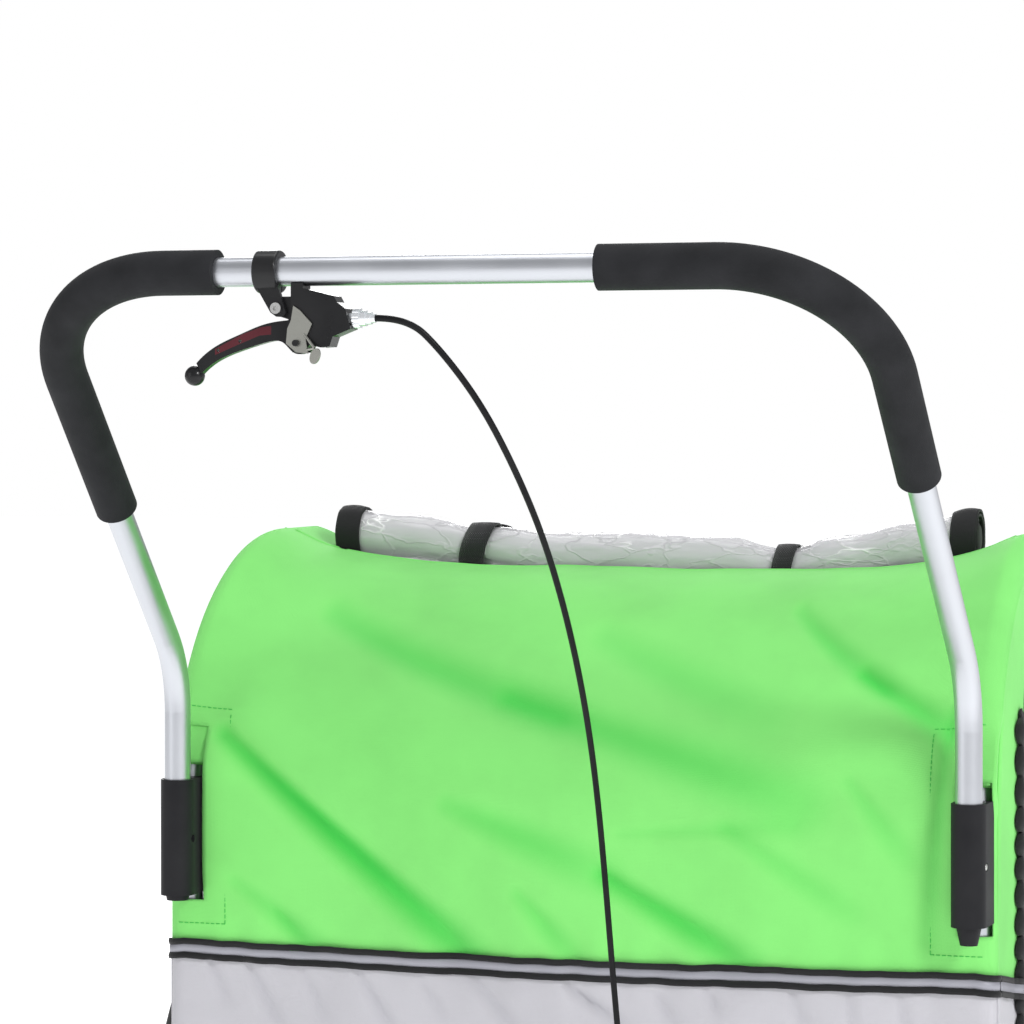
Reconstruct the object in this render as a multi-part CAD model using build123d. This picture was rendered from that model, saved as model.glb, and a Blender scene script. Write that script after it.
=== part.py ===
from build123d import *
from math import atan2, cos, degrees, pi, radians, sin, tan
import os

# Child bicycle trailer with a push handle and a front swivel wheel.
# Millimetres. +Y points to the rear, +X to the trailer's left, +Z up from the floor.

# Handle
HANDLE_Y = 489.0
LEG_X = 339.0
LEG_TOP_X = 325.0
LEG_END_Z = 534.0
BEND_Z = 723.5
LEAN_BACK = 45.4
LEAN_LENGTH = 454.7
TUBE_R = 11.0
TUBE_BORE_R = 9.5
GRIP_R = 17.0
SOCKET_BOTTOM_Z = 530.5
SOCKET_TOP_Z = 628.5
SOCKET_WIDTH = 28.5
PLUG_NOSE = {"left": 8.0, "right": 18.0}

# Cabin
HOOP_X = 341.0
POST_Y = 456.0
HOOP_TOP_Z = 818.0
HOOP_REAR_R = 218.0
HOOP_FRONT_R = 120.0
HOOP_KNEE_R = 80.0
FRONT_CORNER_Y = 90.0
FRONT_POST_Y = -201.0
FRONT_SLOPE = 58.0
SKIN_OFFSET = 14.0
SKIN = 2.0
SIDE_SKIN_X = 355.5
BAND_Z = 482.5
SKIRT_BOTTOM_Z = 190.0
FRONT_LIP_Z = 340.0
ROOF_EDGE_Y = 224.0

# Floor frame
RAIL_Z = 205.0
MIDDLE_TUBE_Y = -60.0
SEAT_TUBE_Y = -18.0
SEAT_TUBE_Z = 268.0

# Rear wheels
AXLE_Y = 100.0
AXLE_Z = 254.0
WHEEL_X = 410.0
TYRE_R = 22.0
TYRE_RING_R = 232.0
RIM_OUTER_R = 216.0
RIM_INNER_R = 200.0
SPOKES = 20
AXLE_R = 6.0
RUNNING_GAP = 0.05
AXLE_TUBE_R = 14.0
DRUM_R = 40.0

# Front swivel wheel
SWIVEL_Y = -450.0
TRAIL = 45.0
FRONT_WHEEL_R = 150.0
FRONT_TYRE_R = 18.0
ARM_Z = 174.0

# Towing arm
TOW_PIN_Y = -262.0
TOW_PIN_R = 6.0
HITCH_X = 230.0
HITCH_Z = 300.0
HITCH_BORE_R = 5.1

# Brake lever on the crossbar
CLAMP_X = 127.5
CLAMP_HALF = 9.2
CLAMP_R = 16.0
LEVER_PIVOT = (103.0, 989.3)
PIVOT_R = 2.4
BLADE_Y = (-5.5, 1.5)
BLADE_ROOM = 0.3
CLAMP_SCREW = (118.7, 1015.2)
FLUTES = 12
ADJUSTER_Z = 1007.5
ADJUSTER_END_X = 44.0

# Brake cable
CABLE_R = 2.5

os.makedirs("parts", exist_ok=True)
lean = radians(LEAN_BACK)
BAR_Y = HANDLE_Y + LEAN_LENGTH * sin(lean)
BAR_Z = BEND_Z + LEAN_LENGTH * cos(lean)
HITCH_PIN_Y = 58 - BAR_Y - GRIP_R
SIDES = {"left": 1, "right": -1}


def save(shape, name):
    export_step(shape, f"parts/{name}.step")


def save_group(shapes, name):
    save(Compound(children=list(shapes)), name)


def block(x0, x1, y0, y1, z0, z1):
    """A box between two opposite corners."""
    size = (abs(x1 - x0), abs(y1 - y0), abs(z1 - z0))
    return Pos((x0 + x1) / 2, (y0 + y1) / 2, (z0 + z1) / 2) * Box(*size)


def rod(start, end, radius):
    """A round bar between two points."""
    line = Vector(*end) - Vector(*start)
    plane = Plane(origin=start, z_dir=line)
    return extrude(plane * Circle(radius), amount=line.length)


def sweep_round(path, radius):
    return sweep(Plane(origin=path @ 0, z_dir=path % 0) * Circle(radius), path=path)


def bent_tube(points, radii, outer, inner=0):
    path = FilletPolyline(*points, radius=radii)
    tube = sweep_round(path, outer)
    if inner:
        tube -= sweep_round(path, inner)
    return tube


def side_profile(grow):
    """The cabin's side outline, grown outwards from the hoop's centreline."""
    slope = radians(FRONT_SLOPE)
    top = HOOP_TOP_Z + grow
    rear = POST_Y + grow
    front = FRONT_POST_Y - grow
    corner = FRONT_CORNER_Y - grow * tan(slope / 2)
    knee = top - (corner - front) * tan(slope)
    points = [(rear, RAIL_Z), (rear, top), (corner, top), (front, knee), (front, RAIL_Z)]
    return points, [HOOP_REAR_R + grow, HOOP_FRONT_R + grow, HOOP_KNEE_R + grow]


def in_side_plane(points, x):
    return [(x, y, z) for y, z in points]


def side_face(grow):
    """A face in the plane X = 0 that fills the side outline down to the skirt's hem."""
    points, radii = side_profile(grow)
    points[0] = (points[0][0], SKIRT_BOTTOM_Z)
    points[-1] = (points[-1][0], SKIRT_BOTTOM_Z)
    edge = FilletPolyline(*in_side_plane(points, 0), radius=radii)
    hem = Line(in_side_plane(points, 0)[-1], in_side_plane(points, 0)[0])
    return make_face([*edge.edges(), hem])


def floor_frame():
    rails = []
    joints = []
    tubes = []
    bore = TUBE_R + 0.1
    for s in SIDES.values():
        x = s * HOOP_X
        rails.append(rod((x, FRONT_POST_Y + 12, RAIL_Z), (x, POST_Y - 12, RAIL_Z), TUBE_R))
        for y, inward in ((POST_Y, -1), (FRONT_POST_Y, 1)):
            body = block(x - 13.5, x + 13.5, y - inward * 11.5, y + inward * 36, RAIL_Z - 14.5, RAIL_Z + 35)
            body = fillet(body.edges().filter_by(Axis.Z), 4)
            body -= rod((x, y, RAIL_Z + 11.5), (x, y, RAIL_Z + 60), bore)
            body -= rod((x, y + inward * 11.5, RAIL_Z), (x, y + inward * 60, RAIL_Z), bore)
            body -= rod((s * (HOOP_X - 1), y, RAIL_Z), (0, y, RAIL_Z), bore)
            joints.append(body)
        y = MIDDLE_TUBE_Y
        tee = block(x - 13.5, x + 13.5, y - 20, y + 20, RAIL_Z - 14.5, RAIL_Z + 14.5)
        tee += rod((x, y, RAIL_Z), (x - s * 34, y, RAIL_Z), 14)
        tee -= rod((x, y - 30, RAIL_Z), (x, y + 30, RAIL_Z), bore)
        tee -= rod((x - s * 11.5, y, RAIL_Z), (x - s * 60, y, RAIL_Z), bore)
        joints.append(tee)
    for y, half in ((POST_Y, HOOP_X - 2), (FRONT_POST_Y, HOOP_X - 2), (MIDDLE_TUBE_Y, HOOP_X - 12)):
        bar = rod((-half, y, RAIL_Z), (half, y, RAIL_Z), TUBE_R)
        bar -= rod((-half, y, RAIL_Z), (half, y, RAIL_Z), TUBE_BORE_R)
        tubes.append(bar)
    half = HOOP_X - 3
    tubes.append(rod((-half, SEAT_TUBE_Y, SEAT_TUBE_Z), (half, SEAT_TUBE_Y, SEAT_TUBE_Z), 8))
    save_group(rails, "floor_rails")
    save_group(joints, "floor_joints")
    save_group(tubes, "floor_cross_tubes")


def axle_parts():
    half = 362.5
    tube = rod((-half, AXLE_Y, AXLE_Z), (half, AXLE_Y, AXLE_Z), AXLE_TUBE_R)
    tube -= rod((-half, AXLE_Y, AXLE_Z), (half, AXLE_Y, AXLE_Z), AXLE_R + RUNNING_GAP)
    save(tube, "axle_tube")
    brackets = []
    axles = []
    for s in SIDES.values():
        x = s * HOOP_X
        for y, z, bore in ((AXLE_Y, AXLE_Z, AXLE_TUBE_R), (SEAT_TUBE_Y, SEAT_TUBE_Z, 8)):
            low = RAIL_Z + TUBE_R + 0.5
            plate = block(x - 3, x + 3, y - bore - 8, y + bore + 8, low, z)
            plate += rod((x - 3, y, z), (x + 3, y, z), bore + 8)
            plate += block(x - 9, x + 9, y - bore - 8, y + bore + 8, low, low + 3)
            plate -= rod((x - 10, y, z), (x + 10, y, z), bore + 0.1)
            brackets.append(plate)
        pin = rod((s * 300, AXLE_Y, AXLE_Z), (s * 440.4, AXLE_Y, AXLE_Z), AXLE_R)
        pin += rod((s * 440.4, AXLE_Y, AXLE_Z), (s * 452, AXLE_Y, AXLE_Z), 11)
        pin -= rod((s * 432, AXLE_Y, AXLE_Z), (s * 453, AXLE_Y, AXLE_Z), 4 + RUNNING_GAP)
        axles.append(pin)
    save_group(brackets, "cross_tube_brackets")
    save_group(axles, "wheel_axles")
    for side, s in SIDES.items():
        button = rod((s * 443.5, AXLE_Y, AXLE_Z), (s * 455, AXLE_Y, AXLE_Z), 4)
        button = fillet(button.edges().sort_by(Axis.X)[-1 if s > 0 else 0], 1)
        save(button, f"{side}_axle_button")


def wheel_profile_ring(section, x):
    """Turns a section, drawn as radius across and width up, into a ring about the X axis."""
    turned = revolve(section, Axis.Z)
    return Pos(x, 0, 0) * (Rot(0, 90, 0) * turned)


def tyre_section(ring_r, tyre_r, wall, rim_r):
    plane = Plane.XZ
    section = plane * (Pos(ring_r, 0) * (Circle(tyre_r) - Circle(tyre_r - wall)))
    cut = plane * (Pos(rim_r - 50, 0) * Rectangle(100, 4 * tyre_r))
    return section - cut


def rear_wheel(side, s):
    at = Pos(s * WHEEL_X, AXLE_Y, AXLE_Z)
    tyre = wheel_profile_ring(tyre_section(TYRE_RING_R, TYRE_R, 4, RIM_OUTER_R), 0)
    save(at * tyre, f"{side}_tyre")
    middle = (RIM_OUTER_R + RIM_INNER_R) / 2
    depth = RIM_OUTER_R - RIM_INNER_R
    section = Pos(middle, 0) * Rectangle(depth, 27)
    section -= Pos(middle + 4, 0) * Rectangle(depth, 21)
    save(at * wheel_profile_ring(Plane.XZ * section, 0), f"{side}_rim")
    spokes = []
    for i in range(SPOKES):
        turn = 2 * pi * i / SPOKES
        lead = radians(38) * (1 if i % 4 < 2 else -1)
        out = 20 if i % 2 else -20
        start = (out, 29 * cos(turn + lead), 29 * sin(turn + lead))
        end = (out * 0.08, (RIM_INNER_R - 0.5) * cos(turn), (RIM_INNER_R - 0.5) * sin(turn))
        spokes.append(at * rod(start, end, 1.1))
    save_group(spokes, f"{side}_spokes")
    hub = rod((-30, 0, 0), (30, 0, 0), 15)
    for x in (-20, 20):
        hub += rod((x - 1.5, 0, 0), (x + 1.5, 0, 0), 27.5)
    hub += rod((-s * 46, 0, 0), (-s * 30, 0, 0), DRUM_R)
    hub -= rod((-50, 0, 0), (50, 0, 0), AXLE_R + RUNNING_GAP)
    save(at * hub, f"{side}_hub")


def brakes():
    plates = []
    for s in SIDES.values():
        plate = rod((s * 359, AXLE_Y, AXLE_Z), (s * 362, AXLE_Y, AXLE_Z), 46)
        plate += block(s * 359, s * 362, AXLE_Y + 30, AXLE_Y + 64, AXLE_Z - 12, AXLE_Z + 12)
        plate += block(s * 359, s * 362, AXLE_Y + 20, AXLE_Y + 118, AXLE_Z - 48, AXLE_Z - 32)
        plate += block(s * 362, s * 372, AXLE_Y + 108, AXLE_Y + 118, AXLE_Z - 48, AXLE_Z - 32)
        plate += rod((s * 362, AXLE_Y + 54, AXLE_Z), (s * 370, AXLE_Y + 54, AXLE_Z), 4)
        plate -= rod((s * 355, AXLE_Y, AXLE_Z), (s * 365, AXLE_Y, AXLE_Z), AXLE_TUBE_R + 0.1)
        plates.append(plate)
        band = rod((s * 363, AXLE_Y, AXLE_Z), (s * 377, AXLE_Y, AXLE_Z), DRUM_R + 3)
        band -= rod((s * 360, AXLE_Y, AXLE_Z), (s * 380, AXLE_Y, AXLE_Z), DRUM_R + 1)
        band -= block(s * 355, s * 385, AXLE_Y + 20, AXLE_Y + 60, AXLE_Z - 9, AXLE_Z + 9)
        band += block(s * 362, s * 364, AXLE_Y - 43, AXLE_Y - 40.8, AXLE_Z - 8, AXLE_Z + 8)
        plates.append(band)
    save_group(plates, "brake_plates")
    for side, s in SIDES.items():
        y = AXLE_Y + 54
        arm = rod((s * 363, y, AXLE_Z), (s * 367, y, AXLE_Z), 9)
        arm += block(s * 363, s * 367, y - 5, y + 5, AXLE_Z - 40, AXLE_Z)
        arm += rod((s * 363, y, AXLE_Z - 40), (s * 367, y, AXLE_Z - 40), 5)
        arm -= rod((s * 360, y, AXLE_Z), (s * 370, y, AXLE_Z), 4 + RUNNING_GAP)
        arm -= rod((s * 360, y, AXLE_Z - 40), (s * 370, y, AXLE_Z - 40), 2)
        save(arm, f"{side}_brake_arm")


def hoop_space(s):
    """The room that one side hoop takes, for cutting out of what grips it."""
    points, radii = side_profile(0)
    return bent_tube(in_side_plane(points, s * HOOP_X), radii, TUBE_R + 0.2)


def hoops():
    points, radii = side_profile(0)
    points[0] = (POST_Y, RAIL_Z + 12)
    points[-1] = (FRONT_POST_Y, RAIL_Z + 12)
    tubes = [
        bent_tube(in_side_plane(points, s * HOOP_X), radii, TUBE_R, TUBE_BORE_R)
        for s in SIDES.values()
    ]
    save_group(tubes, "side_hoops")
    y = POST_Y - 31
    z = SOCKET_TOP_Z + 30
    half = HOOP_X - 9
    tube = rod((-half, y, z), (half, y, z), 8)
    clamps = []
    for s in SIDES.values():
        x = s * HOOP_X
        clamp = block(x - 13.5, x + 13.5, y - 12, POST_Y + 10, z - 14, z + 14)
        clamp &= extrude(side_face(11), 400, dir=(1, 0, 0), both=True)
        clamp -= hoop_space(s)
        clamp -= tube
        clamps.append(clamp)
    save(tube, "back_cross_tube")
    save_group(clamps, "back_tube_clamps")


def handle():
    path = [(LEG_X, HANDLE_Y, LEG_END_Z), (LEG_X, HANDLE_Y, BEND_Z), (LEG_TOP_X, BAR_Y, BAR_Z)]
    path += [(-x, y, z) for x, y, z in reversed(path)]
    tube = bent_tube(path, [90, 115, 115, 90], TUBE_R, TUBE_BORE_R)
    snap_z = SOCKET_TOP_Z - 50
    for s in SIDES.values():
        tube -= rod((s * LEG_X, HANDLE_Y, snap_z), (s * (LEG_X + 20), HANDLE_Y, snap_z), 3 + RUNNING_GAP)
    save(tube, "handle_tube")
    for side, s, inner_x, up in (("left", 1, 169, 197), ("right", -1, 127, 237)):
        share = up / LEAN_LENGTH
        low_x = LEG_X + (LEG_TOP_X - LEG_X) * share
        low_y = HANDLE_Y + (BAR_Y - HANDLE_Y) * share
        low_z = BEND_Z + (BAR_Z - BEND_Z) * share
        points = [(s * inner_x, BAR_Y, BAR_Z), (s * LEG_TOP_X, BAR_Y, BAR_Z), (s * low_x, low_y, low_z)]
        save(bent_tube(points, [115], GRIP_R, TUBE_R + RUNNING_GAP), f"{side}_grip")
    sockets = []
    plugs = []
    run = HANDLE_Y - POST_Y
    height = SOCKET_TOP_Z - SOCKET_BOTTOM_Z
    for side, s in SIDES.items():
        angle = degrees(atan2(run, s * (LEG_X - HOOP_X)))
        slot = Rot(0, 0, angle) * SlotCenterToCenter(run, SOCKET_WIDTH)
        middle = Pos(s * (LEG_X + HOOP_X) / 2, (HANDLE_Y + POST_Y) / 2, SOCKET_BOTTOM_Z)
        shell = middle * extrude(slot, height)
        low = SOCKET_BOTTOM_Z - 1
        high = SOCKET_TOP_Z + 1
        shell -= rod((s * LEG_X, HANDLE_Y, low), (s * LEG_X, HANDLE_Y, high), TUBE_R + 0.1)
        shell -= hoop_space(s)
        shell -= rod((s * (LEG_X - 30), HANDLE_Y, snap_z), (s * (LEG_X + 30), HANDLE_Y, snap_z), 3.4)
        sockets.append(shell)
        nose = PLUG_NOSE[side]
        foot = Pos(s * LEG_X, HANDLE_Y, LEG_END_Z - nose / 2)
        plug = foot * Cone(TUBE_R * (1 - nose / 50), TUBE_R, nose)
        inside = TUBE_BORE_R - RUNNING_GAP
        plug += rod((s * LEG_X, HANDLE_Y, LEG_END_Z), (s * LEG_X, HANDLE_Y, LEG_END_Z + 20), inside)
        plugs.append(plug)
        button = rod((s * (LEG_X + 5), HANDLE_Y, snap_z), (s * (LEG_X + 14.5), HANDLE_Y, snap_z), 3)
        button = fillet(button.edges().sort_by(Axis.X)[-1 if s > 0 else 0], 1.4)
        save(button, f"{side}_snap_button")
    save_group(sockets, "handle_sockets")
    save_group(plugs, "handle_end_plugs")


def lever_plate(points, low, high):
    """A plate with the outline given as (x, z), between two distances behind the crossbar."""
    flat = make_face(Polyline(*[(x, BAR_Y + low, z) for x, z in points], close=True).edges())
    return extrude(flat, high - low, dir=(0, 1, 0))


def across_lever(at, low, high, radius):
    """A round bar along Y through (x, z)."""
    x, z = at
    return rod((x, BAR_Y + low, z), (x, BAR_Y + high, z), radius)


def lever_clamp():
    bar = rod((CLAMP_X - 60, BAR_Y, BAR_Z), (CLAMP_X + 60, BAR_Y, BAR_Z), TUBE_R + RUNNING_GAP)
    ring = rod((CLAMP_X - CLAMP_HALF, BAR_Y, BAR_Z), (CLAMP_X + CLAMP_HALF, BAR_Y, BAR_Z), CLAMP_R)
    ring = fillet(ring.edges(), 1.5)
    lug = [(136.5, 1034), (123.6, 1012.2), (119, 1009), (113.5, 1008.8), (111.5, 1012), (118.5, 1034)]
    ring += lever_plate(lug, 5.8, 9.4)
    ring -= bar
    ring -= block(100, 150, BAR_Y - 1.2, BAR_Y + 0.4, BAR_Z - 20, BAR_Z - 5)
    ring -= across_lever(CLAMP_SCREW, 0, 12, 2.6)
    save(ring, "lever_clamp")
    screw = across_lever(CLAMP_SCREW, 1.9, 9.4, 2.5)
    screw += across_lever(CLAMP_SCREW, 9.4, 12, 4.2)
    screw_x, screw_z = CLAMP_SCREW
    socket = Rot(90, 0, 0) * extrude(RegularPolygon(2, 6), 1.5, both=True)
    screw -= Pos(screw_x, BAR_Y + 12, screw_z) * socket
    save(screw, "lever_clamp_screw")
    return bar


def lever_body(bar):
    outline = [
        (108, 1034),
        (98.5, 1034),
        (98.5, 1030),
        (74, 1024),
        (71.5, 1019.3),
        (65, 1014.5),
        (61, 999.5),
        (75, 994),
        (77.5, 986.5),
        (84.5, 986),
        (93, 988),
        (98, 982.5),
        (106.5, 982.5),
        (110.5, 988),
        (110.5, 1006),
        (108, 1009),
    ]
    body = lever_plate(outline, -8, 8)
    boss = [(107, 1024), (117, 1024), (125, 1016), (122.5, 1011), (117, 1009), (107, 1006)]
    body += lever_plate(boss, BLADE_Y[1] + BLADE_ROOM, 5.6)
    pivot_x, pivot_z = LEVER_PIVOT
    low, high = BLADE_Y[0] - BLADE_ROOM, BLADE_Y[1] + BLADE_ROOM
    body -= across_lever(LEVER_PIVOT, low, high, 21)
    body -= block(pivot_x - 4, 130, BAR_Y + low, BAR_Y + high, pivot_z - 20, pivot_z + 26)
    body -= rod((50, BAR_Y, ADJUSTER_Z), (90, BAR_Y, ADJUSTER_Z), 4.1)
    body -= bar
    body -= across_lever(CLAMP_SCREW, 0, 12, 2.55)
    body += across_lever(LEVER_PIVOT, -9.5, 12.5, PIVOT_R)
    save(body, "lever_body")


def lever_blade():
    upper = [(97, 1003), (104, 1006.4), (112, 1006.6), (131.7, 1003.6)]
    upper += [(150.5, 996.5), (168, 988.8), (186, 975)]
    lower = [(182, 967), (168, 977.4), (150.5, 984.3), (131.7, 989.8)]
    lower += [(117, 990.2), (109, 983), (99, 982.6)]
    holes = [(168.6, 984.6), (151, 991.4)]
    front = BLADE_Y[1]
    top = Spline(*[(x, BAR_Y + front, z) for x, z in upper])
    under = Spline(*[(x, BAR_Y + front, z) for x, z in lower])
    outline = [top, Line(top @ 1, under @ 0), under, Line(under @ 1, top @ 0)]
    blade = extrude(make_face(outline), BLADE_Y[1] - BLADE_Y[0], dir=(0, -1, 0))
    blade += Pos(188.6, BAR_Y + (BLADE_Y[0] + BLADE_Y[1]) / 2, 965.7) * Sphere(7.6)
    blade -= across_lever(LEVER_PIVOT, -10, 10, PIVOT_R + RUNNING_GAP)
    inlay = [(171, 985.5), (150, 996), (135, 1001.4), (126, 1002.6)]
    inlay += [(126, 996), (135, 995.4), (150, 989.6), (171, 981)]
    inlay = lever_plate(inlay, front - 0.6, front)
    for hole in holes:
        blade -= across_lever(hole, -10, 10, 1.3)
        inlay -= across_lever(hole, -10, 10, 1.3)
    save(blade - inlay, "lever_blade")
    save(inlay, "lever_insert")


def parking_latch():
    outline = [
        (105.3, 1017),
        (100, 1013.5),
        (90.5, 1003.5),
        (95.5, 992.5),
        (93.8, 981.5),
        (103.1, 982.5),
        (111, 989),
        (110, 1000),
        (107, 1006.5),
    ]
    latch = lever_plate(outline, 8.4, 10)
    for bend in ((94.5, 984.5), (97, 996)):
        latch += rod((bend[0], BAR_Y + 9.4, bend[1]), (87.5, BAR_Y + 12.4, 985.5), 1.1)
    tab = Rot(0, -20, 0) * (Rot(90, 0, 0) * extrude(Ellipse(3.8, 6), 0.9, both=True))
    latch += Pos(87, BAR_Y + 12.4, 979.5) * tab
    latch -= across_lever(LEVER_PIVOT, 0, 20, PIVOT_R + RUNNING_GAP)
    save(latch, "parking_latch")


def barrel_adjuster():
    at = (BAR_Y, ADJUSTER_Z)
    steps = [(86, 60, 4.05), (60.6, 51, 5.8), (51, 47, 4.6), (47, ADJUSTER_END_X, 3.4)]
    adjuster = Part() + [rod((start, *at), (end, *at), radius) for start, end, radius in steps]
    knurl = rod((60.6, *at), (55.5, *at), 7.4)
    for i in range(FLUTES):
        turn = 2 * pi * i / FLUTES
        y, z = BAR_Y + 8 * cos(turn), ADJUSTER_Z + 8 * sin(turn)
        knurl -= rod((54, y, z), (62, y, z), 1.3)
    adjuster += knurl
    adjuster -= rod((90, *at), (ADJUSTER_END_X - 5, *at), 1.2)
    save(adjuster, "barrel_adjuster")


def brake_lever():
    bar = lever_clamp()
    lever_body(bar)
    lever_blade()
    parking_latch()
    barrel_adjuster()


def cable_route():
    """Control points of the free brake cable, from the lever's adjuster to the splitter."""
    return [
        (ADJUSTER_END_X, BAR_Y, ADJUSTER_Z),
        (19, BAR_Y, ADJUSTER_Z),
        (-4, 803, 983),
        (-27, 782, 945),
        (-43, 754, 900),
        (-54, 717, 849),
        (-58, 674, 794),
        (-58, 630, 737),
        (-56, 590, 679),
        (-54, 558, 616),
        (-54, 538, 550),
        (-56, 526, 483),
        (-60, 518, 415),
        (-62, 513, 347),
        (-61, 511, 280),
        (-57, 507, 222),
        (-50, 488, 180),
        (-38, 454, 163),
        (-28, 424, 165),
        (-28, 400, 165),
    ]


def bend_radii(points):
    """Each corner's arc as large as its shorter run allows."""
    radii = []
    for before, corner, after in zip(points, points[1:], points[2:]):
        one = Vector(*corner) - Vector(*before)
        two = Vector(*after) - Vector(*corner)
        turn = radians(one.get_angle(two))
        radii.append(0.45 * min(one.length, two.length) / tan(turn / 2))
    return radii


def cables():
    points = cable_route()
    radii = bend_radii(points)
    path = FilletPolyline(*points, radius=radii)
    cable = sweep_round(path, CABLE_R)
    print("brake cable: length", round(path.length), "radii", [round(r) for r in radii])
    print("volume against section by length", round(cable.volume / (pi * CABLE_R**2 * path.length), 4))
    save(cable, "brake_cable")
    splitter = block(-50, -6, 372, 400, 155, 187)
    splitter = fillet(splitter.edges().filter_by(Axis.Y), 4)
    save(splitter, "cable_splitter")
    branches = []
    for s in SIDES.values():
        x0 = -28 + s * 10
        points = [(x0, 372, 165), (x0, 330, 165), (s * 250, 290, 165), (s * 367, 290, 168)]
        points += [(s * 367, 256, AXLE_Z - 40), (s * 367, AXLE_Y + 118, AXLE_Z - 40)]
        branches.append(bent_tube(points, [30, 60, 20, 20], CABLE_R))
    save_group(branches, "branch_cables")


def front_wheel():
    wheel_y = SWIVEL_Y + TRAIL
    arm = bent_tube(
        [(0, -40, ARM_Z), (0, -236, ARM_Z), (0, -236, 352), (0, SWIVEL_Y, 352)], [24, 40], 12, 10
    )
    arm -= rod((0, SWIVEL_Y, 300), (0, SWIVEL_Y, 400), 16.5)
    save(arm, "front_arm")
    head = rod((0, SWIVEL_Y, 334), (0, SWIVEL_Y, 372), 16.4)
    head -= rod((0, SWIVEL_Y, 330), (0, SWIVEL_Y, 380), TUBE_R + RUNNING_GAP)
    save(head, "head_tube")
    clamps = []
    for y in (FRONT_POST_Y, MIDDLE_TUBE_Y):
        clamp = block(-17, 17, y - 11, y + 14, ARM_Z - 16, RAIL_Z - 1)
        clamp -= rod((0, y - 20, ARM_Z), (0, y + 20, ARM_Z), 12.1)
        clamp -= rod((-20, y, RAIL_Z), (20, y, RAIL_Z), TUBE_R + 0.1)
        clamp -= block(-20, 20, y - 20, y + 20, SKIRT_BOTTOM_Z - 2.9, SKIRT_BOTTOM_Z - 0.1)
        clamps += list(clamp.solids())
    save_group(clamps, "front_arm_clamps")
    steerer = rod((0, SWIVEL_Y, 326), (0, SWIVEL_Y, 376), TUBE_R)
    steerer += rod((0, SWIVEL_Y, 372.4), (0, SWIVEL_Y, 380), 15)
    crown = block(-40, 40, SWIVEL_Y - 14, SWIVEL_Y + 14, 310, 333.6)
    fork = steerer + fillet(crown.edges().filter_by(Axis.Z), 6)
    for s in (-1, 1):
        leg = bent_tube(
            [(s * 33, SWIVEL_Y, 312), (s * 33, SWIVEL_Y + 8, 260), (s * 33, wheel_y, FRONT_WHEEL_R)],
            [60],
            7,
        )
        fork += leg
        fork += rod((s * 29, wheel_y, FRONT_WHEEL_R), (s * 37, wheel_y, FRONT_WHEEL_R), 11)
    fork += rod((-42, wheel_y, FRONT_WHEEL_R), (42, wheel_y, FRONT_WHEEL_R), 5)
    save(fork, "front_fork")
    at = Pos(0, wheel_y, FRONT_WHEEL_R)
    rim_r = 116
    ring_r = FRONT_WHEEL_R - FRONT_TYRE_R
    save(at * wheel_profile_ring(tyre_section(ring_r, FRONT_TYRE_R, 4, rim_r + 4), 0), "front_tyre")
    section = Plane.XZ * (Pos(rim_r - 3, 0) * Rectangle(13.8, 24))
    rim = wheel_profile_ring(section, 0)
    rim += rod((-24, 0, 0), (24, 0, 0), 18)
    for i in range(5):
        spoke = block(-6, 6, 10, 110, -9, 9)
        rim += Rot(72 * i, 0, 0) * spoke
    rim -= rod((-30, 0, 0), (30, 0, 0), 5 + RUNNING_GAP)
    save(at * rim, "front_wheel_rim")


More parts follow.
